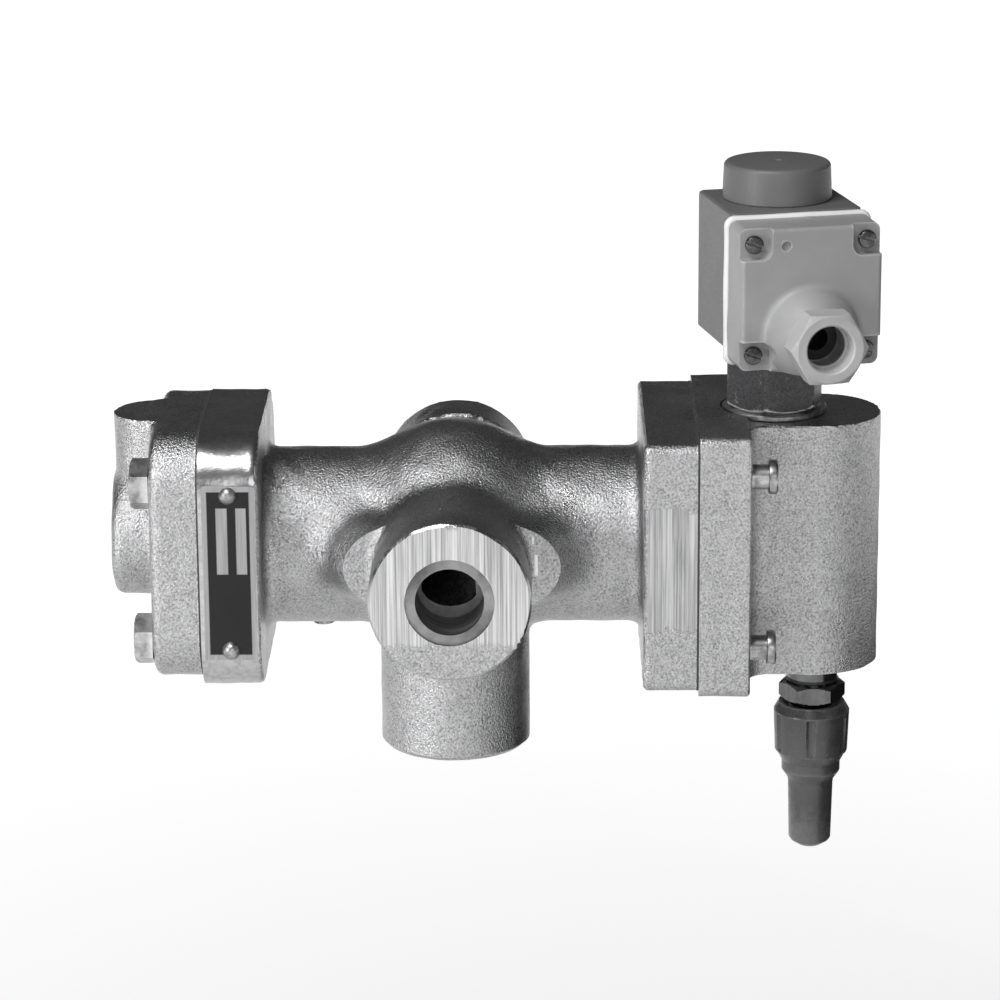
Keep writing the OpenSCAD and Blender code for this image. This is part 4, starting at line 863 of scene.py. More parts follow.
def drain_adapter_shape():
    """Turned fitting: thread, hexagon with a cone at each end, round collar and neck, over a stepped bore."""
    size = settings("valve_castings")
    fittings = settings("valve_fittings")
    low, high = spans("drain_adapter")
    pin, seat = 1.55, spans("drain_core")[0][2] + 3.2
    collar = fittings.nipple_radius
    head = AXIS_Z + size.head_foot
    hexagon_top = head - fittings.nipple_length
    hexagon_foot = hexagon_top - fittings.adapter_height
    flats = fittings.adapter_flats
    profile = [(pin, low[2]), (7.3, low[2]), (8, low[2] + 0.7), (8, hexagon_foot),
               *chamfer(flats, hexagon_foot, -1)[::-1], *chamfer(flats, hexagon_top, 1),
               (collar - 0.3, hexagon_top), *arc((collar - 0.3, hexagon_top + 1.3), 1.0, -90, -20, 3),
               (collar, hexagon_top + 1.9),
               (collar, head - 0.5), (collar - 0.5, head), (6.5, head), (6.5, high[2] - 0.8), (5.7, high[2]),
               (3, high[2]), (3, seat), (pin, seat)]

    def hexagon(angle, r, h):
        band = (h > hexagon_foot - 0.01) & (h < hexagon_top + 0.01)
        return np.where(band, np.minimum(r, hex_radius(angle + math.pi / 6, flats)), r)

    points, faces = lathe(profile, 120, hexagon, closed=True)
    return points + [DRAIN_X, 0, 0], faces


def drain_cap_shape():
    """Moulded cap, turned about the drain: cone mouth, grooved grip, taper and long sleeve with a mould line.

    A grip groove is a round cut: at angle t from its centre line the radius is c cos t less the root of
    g squared less (c sin t) squared, where g is the groove's radius and c its distance from the axis.
    """
    fittings = settings("valve_fittings")
    low, high = spans("drain_cap")
    rim = (high[0] - low[0]) / 2
    bottom, top = low[2], high[2]
    ledge = top - 3.4
    grip = ledge - 17
    sleeve = 8.8
    mid = 11.2
    seal_low, seal_high = spans("cap_seal")
    bore = (seal_high[0] - seal_low[0]) / 2 + 0.55
    outside = [(0, bottom), (2.6, bottom), (4.6, bottom + 0.5), (sleeve - 1.4, bottom + 2.4),
               (sleeve - 0.7, bottom + 3.6), (sleeve - 0.2, grip - 12.5), (sleeve, grip - 11),
               (sleeve + 0.4, grip - 10.1), (mid - 0.3, grip - 7.6), (mid, grip - 7.2), (mid, grip - 3.2),
               (mid + 0.4, grip - 2.7), (rim - 1.5, grip), (rim - 0.7, grip + 0.8)]
    tall = ledge - grip - 1.0
    grooves = [(rim - 0.6 + 0.6 * t, grip + 0.8 + tall * t) for t in np.linspace(0.02, 0.98, 26)]
    mouth = [(rim, ledge), (rim - 0.25, ledge + 0.4), (rim - 1.6, top - 0.5), (rim - 2.0, top),
             (rim - 3.0, top), (bore + 1.6, top - 1.6), (bore + 1.2, top - 1.7), (bore + 0.3, top - 1.0),
             (bore, top - 1.4),
             (bore, seal_low[2]), (3, seal_low[2]), (3, bottom + 8.5), (0, bottom + 8.5)]
    centre = rim + fittings.rib_radius - fittings.rib_depth

    def grip_form(angle, r, h):
        step = 2 * math.pi / fittings.rib_count
        away = (angle - fittings.rib_turn + step / 2) % step - step / 2
        half = fittings.rib_radius ** 2 - (centre * np.sin(away)) ** 2
        cut = np.where(half > 0, centre * np.cos(away) - np.sqrt(np.maximum(half, 0)), 99.0)
        fade = np.clip(np.minimum(h - grip - 1.3, ledge - 0.4 - h) / 0.8, 0, 1)
        outer = (r > sleeve - 1) & (h < top - 0.2)
        cut = np.where(outer & (fade > 0), r + (np.minimum(r, cut) - r) * fade, r)
        line = np.abs((angle + math.radians(112) + math.pi) % math.pi - math.pi / 2)
        flash = 0.16 * np.exp(-(line / 0.018) ** 2)
        return np.where(outer & (h > bottom + 3), np.minimum(cut + flash, rim), cut)

    points, faces = lathe(outside + grooves + mouth, 216, grip_form)
    return points + [DRAIN_X, 0, 0], faces


def coil_cap_shape():
    """Round cap: side drawn in a little, rolled top edge, faint dome with a dimple, hollow below."""
    low, high = coil_spans("coil_cap")
    base, top = low[2], high[2]
    radius = (high[0] - low[0]) / 2
    draw = 0.5
    wall = settings("valve_coil").wall
    dome = [(r, top - 0.35 * (r / radius) ** 2) for r in np.linspace(radius - draw - 2.4, 2.2, 8)]
    side = [(radius - draw * t, base + 0.5 + (top - base - 2.6) * t) for t in np.linspace(0.1, 1, 6)]
    profile = [(0, top - 5), (radius - wall, top - 5), (radius - wall, base), (radius - 0.5, base),
               (radius, base + 0.5), *side,
               *arc((radius - draw - 1.7, top - 2.0), 1.7, 4, 84, 8), *dome,
               (1.7, top - 0.1), (1.3, top - 0.5), (0.7, top - 0.75), (0, top - 0.8)]
    points, faces = lathe(profile, 144)
    return coil_place(points), faces


def coil_housing_field():
    """Distance field of the coil housing, in the coil's frame: box open below, tube and screw holes."""
    size = settings("valve_coil")
    low, high = coil_spans("coil_housing")
    middle = (low[1] + high[1]) / 2
    cover_low, cover_high = coil_spans("box_gasket")
    cover_z = (cover_low[2] + cover_high[2]) / 2
    block_low, block_high = coil_spans("terminal_block")
    block_z = (block_low[2] + block_high[2]) / 2

    def field(x, y, z):
        outline = round_square(x, y - middle, 2 * high[0], high[1] - low[1], size.corner)
        box = crossed(outline, between(z, low[2], high[2]), size.edge)
        room = round_square(x, y, 2 * (high[0] - size.wall), 2 * size.room_depth, 1.0)
        room = crossed(room, z - high[2] + size.roof)
        room = np.minimum(room, np.hypot(x, y) - size.tube_hole)
        screw = np.hypot(np.abs(x) - size.screw_x, np.abs(z - cover_z) - size.screw_z)
        screw = screw - size.shank_radius - HOLE_GAP
        terminal = np.hypot(np.abs(np.abs(x) - 4.5) - 4.5, z - block_z) - 1.3
        holes = np.minimum(crossed(screw, y - low[1] - 6.5), crossed(terminal, y - low[1] - 5))
        return np.maximum(box, -np.minimum(room, holes))

    return field, low, high


def rim_field():
    """Distance field of the pale rim: thin frame with a round, slightly uneven bead, open in the middle."""
    size = settings("valve_coil")
    low, high = coil_spans("box_gasket")
    middle = (low[2] + high[2]) / 2
    more = np.array([1.2, 0.9, 1.2])

    def field(x, y, z):
        up = z - middle
        ripple = 0.22 * (1 + np.sin(x / 4.7 + 0.8) * np.cos(z / 5.3))
        outline = round_square(x, up, 2 * high[0], high[2] - low[2], 2.9) + ripple * 0.5
        frame_form = crossed(outline, between(y, low[1], high[1]), 0.3)
        bead = crossed(outline - 0.9, between(y, low[1] - 0.7, high[1] + 0.8), 1.2)
        bead = np.maximum(bead, -outline - 0.5)
        frame_form = np.minimum(frame_form, bead)
        room = round_square(x, up, 2 * high[0] - 8, high[2] - low[2] - 8, 1)
        posts = round_square(np.abs(x) - high[0], np.abs(up) - high[0], 2 * 13.4, 2 * 13.4, 4)
        screw = np.hypot(np.abs(x) - size.screw_x, np.abs(up) - size.screw_z) - size.shank_radius - 0.2
        return np.maximum(frame_form, -np.minimum(np.maximum(room, -posts), screw))

    return field, low - more, high + more


def box_cover_field():
    """Distance field of the terminal cover: hollow box, four recessed corners, and a hub that is a cone."""
    size = settings("valve_coil")
    low, high = coil_spans("box_cover")
    rim_low, rim_high = coil_spans("box_gasket")
    middle = (rim_low[2] + rim_high[2]) / 2
    half = high[0]
    foot = middle - half
    front = low[1] + size.hub_height
    back = high[1]
    slope = (size.hub_radius - size.hub_neck) / size.hub_height
    lean = 1 / math.hypot(1, slope)

    def field(x, y, z):
        up = z - middle
        inset = 0.2 * (back - y) / (back - front)
        outline = round_square(x, up, 2 * half, 2 * half, 3.0) + inset
        block = crossed(outline, between(y, front, back + 6), size.edge)
        deep = np.hypot(x, z - HUB_Z)
        cone = (deep - size.hub_neck - slope * (y - low[1])) * lean
        bulged = cone - 1.1 * np.sin(np.clip((y - low[1]) / size.hub_height, 0, 1) * math.pi)
        hub = crossed(bulged, between(y, low[1], back), 0.6)
        hub = crossed(hub, foot - z, 1.0)
        nub = ((x - 3.0) / 2.4) ** 2 + ((y - back + 3.4) / 1.1) ** 2 + ((z - high[2]) / 0.5) ** 2
        nub = np.sqrt(nub) * 0.5 - 0.5
        form = np.minimum(smooth_union(block, hub, 2.2), nub)
        form = np.maximum(form, y - back)
        square = 2 * size.recess
        corner = round_square(np.abs(x) - half, np.abs(up) - half, square, square, size.recess_corner)
        recess = crossed(corner, y - front - size.recess_depth, 0.5)
        dimple = crossed(np.hypot(x + 9.9, up - 19.9) - 1.8, y - front - 0.9, 0.3)
        room = round_square(x, up, 2 * half - 6, 2 * half - 6, 1.0)
        posts = round_square(np.abs(x) - half, np.abs(up) - half, square + 4, square + 4, size.recess_corner)
        room = crossed(np.maximum(room, -posts), front + 2 - y)
        screw = np.hypot(np.abs(x) - size.screw_x, np.abs(up) - size.screw_z) - size.shank_radius - 0.25
        seat = crossed(deep - size.gland_neck - 0.05, y - low[1] - 6.3)
        cuts = [recess, dimple, room, screw, deep - size.hub_bore, seat]
        return np.maximum(form, -np.minimum.reduce(cuts))

    return field, low, high


def cover_screw_field():
    """Distance field of one slotted screw along -Y, its seat at zero: rolled head, slot and shank."""
    size = settings("valve_coil")
    low, high = coil_spans("cover_screws")
    length = high[1] - low[1] - size.screw_height
    cos, sin = math.cos(size.slot_turn), math.sin(size.slot_turn)

    def field(x, y, z):
        deep = np.hypot(x, z)
        dome = y + size.screw_height - 0.05 * deep ** 2 * 0.5
        head = crossed(deep - size.screw_radius, np.maximum(-dome, y), 0.4)
        shank = crossed(deep - size.shank_radius, between(y, -0.5, length), 0.3)
        across = np.abs(z * cos + x * sin) - size.slot_width / 2
        slot = crossed(across, y + size.screw_height - 1.3)
        return np.maximum(np.minimum(head, shank), -slot)

    reach = size.screw_radius
    return field, (-reach, -size.screw_height, -reach), (reach, length, reach)


def cover_screws_shape():
    """The traced screw, set into the four recesses."""
    size = settings("valve_coil")
    rim_low, rim_high = coil_spans("box_gasket")
    middle = (rim_low[2] + rim_high[2]) / 2
    seat = coil_spans("cover_screws")[0][1] + size.screw_height
    field, low, high = cover_screw_field()
    points, faces = contour(field, low, high, FINE_CUBE["screw"])
    places = [(x * size.screw_x, seat, middle + z * size.screw_z) for x in (-1, 1) for z in (-1, 1)]
    points, faces = joined([(points + place, faces) for place in places])
    return coil_place(points), faces


def gland_nut_shape():
    """Hexagon gland nut along -Y: a cone at each end, countersunk bore with a thin lip, neck into the hub."""
    size = settings("valve_coil")
    low, high = coil_spans("gland_nut")
    neck = size.gland_neck
    flats, bore = size.gland_flats, size.gland_bore
    length = -low[1]
    seat = -coil_spans("box_cover")[0][1] + 0.2
    end = -high[1]
    back = chamfer(flats, seat, -1)[::-1]
    front = chamfer(flats, length, 1)
    profile = [(bore - 0.3, end), (neck - 0.5, end), (neck, end + 0.5), (neck, seat), (back[0][0], seat),
               *[(r, seat + (r - back[0][0]) * 0.9) for r, h in back],
               *front, (bore + 0.7, length), (bore + 0.15, length - 0.5), (bore, length - 1.2),
               (bore, length - 7.4), (bore - 0.9, length - 7.6), (bore - 0.9, length - 8.4),
               (bore - 0.3, length - 8.6)]

    def hexagon(angle, r, h):
        return np.where(h > seat - 0.01, np.minimum(r, hex_radius(angle + math.pi / 6, flats)), r)

    points, faces = lathe(profile, 144, hexagon, closed=True)
    points = stand(points, (0.0, 0.0, HUB_Z), (0.0, -1.0, 0.0))
    return coil_place(points), faces


def traced(shape, cube):
    """Contour of a field of the coil's frame, turned into the valve's frame."""
    field, low, high = shape
    points, faces = contour(field, low, high, cube)
    return coil_place(points), faces


class Tree:
    """Adds shader nodes to a tree; an input given as a socket is linked, any other value is set."""

    def __init__(self, tree):
        self.tree = tree

    def add(self, kind, inputs=None, **options):
        node = self.tree.nodes.new("ShaderNode" + kind)
        for option, value in options.items():
            setattr(node, option, value)
        for key, value in (inputs or {}).items():
            if isinstance(value, bpy.types.NodeSocket):
                self.tree.links.new(value, node.inputs[key])
            else:
                node.inputs[key].default_value = value
        return node

    def value(self, kind, inputs=None, **options):
        return self.add(kind, inputs, **options).outputs[0]

    def maths(self, operation, *values):
        return self.value("Math", dict(enumerate(values)), operation=operation)

    def ramp(self, value, low, high, start=0.0, end=1.0):
        """Value carried from the range low..high to start..end, held at its ends."""
        return self.value("MapRange", {0: value, 1: low, 2: high, 3: start, 4: end})

    def noise(self, vector, scale, detail=2.0, roughness=0.5):
        inputs = {"Vector": vector, "Scale": scale, "Detail": detail, "Roughness": roughness}
        return self.value("TexNoise", inputs)

    def place(self):
        return self.add("TexCoord").outputs["Object"]


def skin_group(name, inputs, build):
    """Shared node group with the outputs Tone, Wear and Height, all between about 0 and 1."""
    group = bpy.data.node_groups.get(name)
    if group is None:
        group = bpy.data.node_groups.new(name, "ShaderNodeTree")
        for socket, (kind, default) in inputs.items():
            made = group.interface.new_socket(name=socket, in_out="INPUT", socket_type="NodeSocket" + kind)
            made.default_value = default
        for socket in ("Tone", "Wear", "Height"):
            group.interface.new_socket(name=socket, in_out="OUTPUT", socket_type="NodeSocketFloat")
        tree = Tree(group)
        source = group.nodes.new("NodeGroupInput")
        sink = group.nodes.new("NodeGroupOutput")
        for socket, value in zip(("Tone", "Wear", "Height"), build(tree, source.outputs)):
            group.links.new(value, sink.inputs[socket])
    return group


def cast_skin():
    """Sand-cast skin: round grains with small pits between them, and broad cloudy tone."""

    def build(tree, inputs):
        place = tree.place()
        coarse = tree.noise(place, inputs["Grain"], 3, 0.6)
        cells = tree.value("TexVoronoi", {"Vector": place, "Scale": inputs["Grain"]}, feature="SMOOTH_F1")
        fine = tree.noise(place, tree.maths("MULTIPLY", inputs["Grain"], 2.3), 1)
        lumps = tree.noise(place, tree.maths("MULTIPLY", inputs["Grain"], 0.25), 2)
        height = tree.maths("MULTIPLY_ADD", cells, -0.45, coarse)
        height = tree.maths("MULTIPLY_ADD", fine, 0.25, height)
        height = tree.maths("MULTIPLY_ADD", lumps, 0.2, height)
        cloud = tree.noise(place, 38.0, 4, 0.6)
        return tree.ramp(height, 0.2, 0.7), tree.ramp(cloud, 0.3, 0.7), height

    return skin_group("cast_skin", {"Grain": ("Float", 800.0)}, build)


def lined_skin():
    """Ground or turned metal: noise drawn out into lines by a stretch along each axis."""

    def build(tree, inputs):
        place = tree.value("VectorMath", {0: tree.place(), 1: inputs["Stretch"]}, operation="MULTIPLY")
        lines = tree.noise(place, 1.0, 4, 0.65)
        broad = tree.noise(place, 0.35, 2, 0.5)
        height = tree.maths("MULTIPLY_ADD", broad, 0.8, lines)
        return tree.ramp(lines, 0.35, 0.65), tree.ramp(broad, 0.3, 0.7), height

    return skin_group("lined_skin", {"Stretch": ("Vector", (700.0, 700.0, 20.0))}, build)


def moulded_skin():
    """Moulded plastic or rubber: fine spark-eroded grain with soft cloudy tone."""

    def build(tree, inputs):
        place = tree.place()
        fine = tree.noise(place, inputs["Grain"], 3, 0.6)
        cloud = tree.noise(place, 45.0, 3, 0.5)
        specks = tree.noise(place, tree.maths("MULTIPLY", inputs["Grain"], 0.4), 2, 0.5)
        return tree.ramp(cloud, 0.3, 0.7), tree.ramp(specks, 0.35, 0.7), fine

    return skin_group("moulded_skin", {"Grain": ("Float", 2500.0)}, build)


def box_mask():
    """Shared mask: 1 inside a rounded box given by its centre and half size, 0 outside, with a soft edge."""
    group = bpy.data.node_groups.get("box_mask")
    if group is None:
        group = bpy.data.node_groups.new("box_mask", "ShaderNodeTree")
        for socket in ("Centre", "Half size"):
            group.interface.new_socket(name=socket, in_out="INPUT", socket_type="NodeSocketVector")
        soft = group.interface.new_socket(name="Softness", in_out="INPUT", socket_type="NodeSocketFloat")
        soft.default_value = 0.0003
        group.interface.new_socket(name="Mask", in_out="OUTPUT", socket_type="NodeSocketFloat")
        tree = Tree(group)
        inputs = group.nodes.new("NodeGroupInput").outputs
        away = tree.value("VectorMath", {0: tree.place(), 1: inputs["Centre"]}, operation="SUBTRACT")
        away = tree.value("VectorMath", {0: away}, operation="ABSOLUTE")
        away = tree.value("VectorMath", {0: away, 1: inputs["Half size"]}, operation="SUBTRACT")
        axes = tree.add("SeparateXYZ", {0: away}).outputs
        outside = tree.maths("MAXIMUM", tree.maths("MAXIMUM", axes[0], axes[1]), axes[2])
        mask = tree.ramp(outside, 0.0, inputs["Softness"], 1.0, 0.0)
        group.links.new(mask, group.nodes.new("NodeGroupOutput").inputs["Mask"])
    return group


def inside_box(low, high, softness=0.0003):
    """Mask function for a box between two corners in millimetres."""
    low, high = np.asarray(low, float) * MM, np.asarray(high, float) * MM
    centre, half = (low + high) / 2, (high - low) / 2
    inputs = {"Centre": centre.tolist(), "Half size": half.tolist(), "Softness": softness}
    return lambda tree: tree.add("Group", inputs, node_tree=box_mask()).outputs["Mask"]


def layer(skin, dark, light, rough, depth, **inputs):
    """One skin over a surface: its two colours, its roughness range and its relief in millimetres."""
    return {"skin": skin, "inputs": inputs, "dark": dark, "light": light, "rough": rough, "depth": depth * MM}


def edge_wear_and_highlight():
    """Shared mask: 1 where an edge stands out by more than High, 0 below Low, broken up by a noise; it lightens
    edges as wear and as a painted highlight.
    """
    group = bpy.data.node_groups.get("edge_wear_and_highlight")
    if group is None:
        group = bpy.data.node_groups.new("edge_wear_and_highlight", "ShaderNodeTree")
        for socket, default in (("Edge", 0.0), ("Low", 0.12), ("High", 0.3), ("Patches", 300.0)):
            made = group.interface.new_socket(name=socket, in_out="INPUT", socket_type="NodeSocketFloat")
            made.default_value = default
        group.interface.new_socket(name="Mask", in_out="OUTPUT", socket_type="NodeSocketFloat")
        tree = Tree(group)
        inputs = group.nodes.new("NodeGroupInput").outputs
        patches = tree.noise(tree.place(), inputs["Patches"], 3, 0.6)
        level = tree.maths("MULTIPLY_ADD", tree.maths("SUBTRACT", patches, 0.5), 0.25, inputs["Edge"])
        mask = tree.ramp(level, inputs["Low"], inputs["High"])
        group.links.new(mask, group.nodes.new("NodeGroupOutput").inputs["Mask"])
    return group


def lay(tree, skin, inputs, dark, light, rough, depth):
    """Sockets for the colour, roughness and relief in metres of one layer."""
    group = tree.add("Group", inputs, node_tree=skin()).outputs
    colour = tree.add("Mix", {0: group["Tone"], 6: (*dark, 1), 7: (*light, 1)}, data_type="RGBA").outputs[2]
    roughness = tree.ramp(group["Wear"], 0, 1, *rough)
    return colour, roughness, tree.maths("MULTIPLY", group["Height"], depth)


def finish(name, layers, mask=None, metallic=0.0, coat=0.0, specular=0.5, edge_wear_and_highlight_tint=None, edge_wear_and_highlight_range=(0.2, 0.4)):
    """Material of one layer, or of two where a mask from 0 to 1 puts the second over the first.

    Where an edge colour and roughness are given, edges that stand out take them over the two edge values given
    after them: partly wear, partly a painted highlight along the edges.
    """
    material = bpy.data.materials.get(name)
    if material is None:
        material = bpy.data.materials.new(name)
        material.use_nodes = True
        tree = Tree(material.node_tree)
        shader = material.node_tree.nodes["Principled BSDF"]
        colour, roughness, relief = lay(tree, **layers[0])
        if mask is not None:
            share = mask(tree)
            over = lay(tree, **layers[1])
            colour = tree.add("Mix", {0: share, 6: colour, 7: over[0]}, data_type="RGBA").outputs[2]
            roughness = tree.add("Mix", {0: share, 2: roughness, 3: over[1]}).outputs[0]
            relief = tree.add("Mix", {0: share, 2: relief, 3: over[2]}).outputs[0]
        # Lighter edges: partly wear, partly a painted highlight along the edges.
        if edge_wear_and_highlight_tint is not None:
            edge = tree.add("Attribute", attribute_name="edge").outputs["Fac"]
            inputs = {"Edge": edge, "Low": edge_wear_and_highlight_range[0], "High": edge_wear_and_highlight_range[1]}
            share = tree.add("Group", inputs, node_tree=edge_wear_and_highlight()).outputs["Mask"]
            colour = tree.add("Mix", {0: share, 6: colour, 7: (*edge_wear_and_highlight_tint[0], 1)}, data_type="RGBA").outputs[2]
            roughness = tree.add("Mix", {0: share, 2: roughness, 3: edge_wear_and_highlight_tint[1]}).outputs[0]
        bump = tree.value("Bump", {"Height": relief, "Distance": 1.0, "Strength": 1.0})
        tree.tree.links.new(colour, shader.inputs["Base Color"])
        tree.tree.links.new(roughness, shader.inputs["Roughness"])
        tree.tree.links.new(bump, shader.inputs["Normal"])
        shader.inputs["Metallic"].default_value = metallic
        shader.inputs["Coat Weight"].default_value = coat
        shader.inputs["Specular IOR Level"].default_value = specular
    return material


def shade(colour, factor):
    """Colour times a factor, held to 1."""
    return tuple(min(channel * factor, 1.0) for channel in colour)


def cast_layer(depth=0.36):
    """Sand-cast skin, its colour darker in the pits and lighter on the grains of its relief: partly the casting's
    own tone, partly painted shade in the pits and a painted highlight on the grains.
    """
    colour = settings("valve_colours").cast
    return layer(cast_skin, shade(colour, 0.45), shade(colour, 1.25), (0.24, 0.4), depth, Grain=1300.0)


def lined_layer(stretch, factor=1.0, rough=(0.2, 0.34), depth=0.02):
    """Ground or turned metal with lines along the axis that is stretched least."""
    colour = settings("valve_colours").steel
    dark, light = shade(colour, 0.5 * factor), shade(colour, 1.2 * factor)
    return layer(lined_skin, dark, light, rough, depth, Stretch=stretch)


def plastic_layer(colour, grain=2500.0, rough=(0.4, 0.52), depth=0.03, spread=0.09):
    """Moulded plastic with a fine grain; spread is how far its tone goes to each side."""
    dark, light = shade(colour, 1 - spread), shade(colour, 1 + spread)
    return layer(moulded_skin, dark, light, rough, depth, Grain=grain)


def floor_finish():
    """Matt pale floor that shows white to the camera and in reflections, and keeps the valve's shadow."""
    size = settings("valve_stage")
    colour = size.floor_colour
    pale = layer(moulded_skin, shade(colour, 0.99), colour, (0.85, 0.95), 0.0, Grain=30.0)
    material = finish("floor", [pale], specular=0.0)
    tree = Tree(material.node_tree)
    shader = material.node_tree.nodes["Principled BSDF"]
    path = tree.add("LightPath").outputs
    seen = tree.maths("MAXIMUM", path["Is Camera Ray"], path["Is Glossy Ray"])
    seen = tree.maths("MAXIMUM", seen, path["Is Transmission Ray"])
    away = tree.value("VectorMath", {0: tree.place()}, operation="LENGTH")
    white = tree.ramp(away.node.outputs["Value"], 0.3, 1.5, size.floor_glow, 1.0)
    strength = tree.maths("MULTIPLY", seen, white)
    shader.inputs["Emission Color"].default_value = (1, 1, 1, 1)
    material.node_tree.links.new(strength, shader.inputs["Emission Strength"])
    return material


def side_finish():
    """Matt, nearly black card on the right of the valve: the castings' right sides mirror it."""
    colour = settings("valve_stage").side_colour
    return finish("side backdrop", [plastic_layer(colour, 30.0, (0.9, 0.95), 0.0, 0.02)], specular=0.0)


def cast_finish():
    return finish("cast skin", [cast_layer()], metallic=1.0, edge_wear_and_highlight_tint=CAST_EDGE_WEAR_AND_HIGHLIGHT)


def ground_finish():
    """Port face ground in upright lines, its lowest quarter left as cast."""

    def rough_part(tree):
        place = tree.add("SeparateXYZ", {0: tree.place()}).outputs
        edge = tree.noise(tree.place(), 260.0, 3, 0.6)
        level = tree.maths("MULTIPLY_ADD", edge, 0.009, place[2])
        return tree.ramp(level, AXIS_Z * MM - 0.0135, AXIS_Z * MM - 0.0105, 1.0, 0.0)

    layers = [lined_layer((1300.0, 900.0, 14.0), 1.15, (0.2, 0.34), 0.07), cast_layer()]
    return finish("port face", layers, mask=rough_part, metallic=1.0, edge_wear_and_highlight_tint=CAST_EDGE_WEAR_AND_HIGHLIGHT)


def turned_finish():
    return finish("turned metal", [lined_layer((60.0, 900.0, 60.0), 0.6, (0.45, 0.6))], metallic=1.0)


def faced_finish():
    return finish("faced metal", [lined_layer((500.0, 500.0, 120.0), 0.95)], metallic=1.0)


def rim_finish():
    """Flange rim rubbed smooth, with a soft broad wave."""
    colour = settings("valve_colours").steel
    return finish("rubbed rim", [layer(cast_skin, shade(colour, 0.75), shade(colour, 1.05), (0.22, 0.3), 0.05,
                                       Grain=500.0)], metallic=1.0)


def part_ground_finish():
    """Front of the right flange: upright ground lines across its middle, cast skin above and below."""

    def rough_part(tree):
        place = tree.add("SeparateXYZ", {0: tree.place()}).outputs
        edge = tree.noise(tree.place(), 160.0, 4, 0.7)
        away = tree.maths("ABSOLUTE", tree.maths("SUBTRACT", place[2], AXIS_Z * MM))
        level = tree.maths("MULTIPLY_ADD", edge, 0.012, away)
        return tree.ramp(level, 0.0290, 0.0300)

    layers = [lined_layer((900.0, 700.0, 14.0), 0.9, (0.2, 0.34), 0.06), cast_layer()]
    return finish("flange front", layers, mask=rough_part, metallic=1.0, edge_wear_and_highlight_tint=CAST_EDGE_WEAR_AND_HIGHLIGHT)


def steel_finish():
    layers = [lined_layer((260.0, 260.0, 260.0), 0.9, (0.3, 0.45), 0.02)]
    return finish("plated steel", layers, metallic=1.0, edge_wear_and_highlight_tint=((0.7, 0.7, 0.7), 0.3))


def screw_finish():
    """Darkened steel of the slotted screws."""
    colour = settings("valve_colours").dark_steel
    stretch = (260.0, 260.0, 260.0)
    dark = layer(lined_skin, shade(colour, 0.8), shade(colour, 2.6), (0.25, 0.4), 0.02, Stretch=stretch)
    return finish("screw steel", [dark], metallic=1.0, edge_wear_and_highlight_tint=((0.4, 0.4, 0.4), 0.25))


def dark_steel_finish():
    colour = settings("valve_colours").dark_steel
    dark = layer(cast_skin, shade(colour, 0.5), shade(colour, 1.8), (0.32, 0.5), 0.08, Grain=1600.0)
    return finish("dark steel", [dark], metallic=0.6, edge_wear_and_highlight_tint=((0.5, 0.5, 0.5), 0.3), edge_wear_and_highlight_range=(0.03, 0.1))


def brass_finish():
    return finish("turned brass", [layer(lined_skin, (0.52, 0.38, 0.17), (0.78, 0.6, 0.3), (0.24, 0.36), 0.01,
                                         Stretch=(300.0, 300.0, 300.0))], metallic=1.0)


def fitting_finish():
    colour = settings("valve_colours").fitting
    stretch = (400.0, 400.0, 200.0)
    dark = layer(lined_skin, shade(colour, 0.8), shade(colour, 1.2), (0.14, 0.26), 0.008, Stretch=stretch)
    return finish("plated fitting", [dark], metallic=1.0, edge_wear_and_highlight_tint=(shade(colour, 3.0), 0.2))


def alloy_finish():
    return finish("turned alloy", [layer(lined_skin, (0.6, 0.6, 0.62), (0.78, 0.78, 0.8), (0.25, 0.38), 0.01,
                                         Stretch=(90.0, 700.0, 700.0))], metallic=1.0)


def polymer_finish():
    return finish("disc polymer", [plastic_layer((0.78, 0.78, 0.75))])


def seal_finish():
    return finish("seal rubber", [plastic_layer((0.014, 0.014, 0.014), 1800.0, (0.5, 0.65))])


def sheet_finish():
    return finish("gasket sheet", [plastic_layer((0.05, 0.05, 0.05), 900.0, (0.6, 0.75), 0.06)])


def plate_finish():
    """Riveted plate: bright border, dark field and two bare light panels."""
    low, high = spans("nameplate")
    field = inside_box((low[0] + 2.0, low[1] - 1, low[2] + 2.2), (high[0] - 2.0, high[1] + 1, high[2] - 2.2))
    top = high[2] - 8.4
    panels = [
        inside_box((low[0] + 5.3, low[1] - 1, top - 25.0), (low[0] + 9.1, high[1] + 1, top)),
        inside_box((low[0] + 12.6, low[1] - 1, top - 25.0), (low[0] + 16.1, high[1] + 1, top)),
    ]

    def dark_field(tree):
        light = tree.maths("MAXIMUM", panels[0](tree), panels[1](tree))
        return tree.maths("MULTIPLY", field(tree), tree.maths("SUBTRACT", 1.0, light))

    colour = settings("valve_colours").steel
    bright = layer(lined_skin, shade(colour, 0.6), shade(colour, 0.8), (0.26, 0.36), 0.005,
                   Stretch=(900.0, 900.0, 30.0))
    black = plastic_layer((0.02, 0.02, 0.021), 1500.0, (0.3, 0.42), 0.01)
    return finish("plate", [bright, black], mask=dark_field, metallic=0.7)


# In the plastic finishes below, the lighter colour on edges that stand out is partly wear and partly a painted
# highlight along the edges.
def housing_finish():
    colour = settings("valve_colours").housing
    return finish("coil plastic", [plastic_layer(colour)], edge_wear_and_highlight_tint=(shade(colour, 1.9), 0.4))


def cover_finish():
    colour = settings("valve_colours").cover
    edge_wear_and_highlight_tint = (shade(colour, 1.45), 0.38)
    return finish("cover plastic", [plastic_layer(colour)], edge_wear_and_highlight_tint=edge_wear_and_highlight_tint, edge_wear_and_highlight_range=(0.1, 0.26))


def gland_finish():
    colour = settings("valve_colours").gland
    return finish("gland plastic", [plastic_layer(colour)], edge_wear_and_highlight_tint=(shade(colour, 1.25), 0.38))


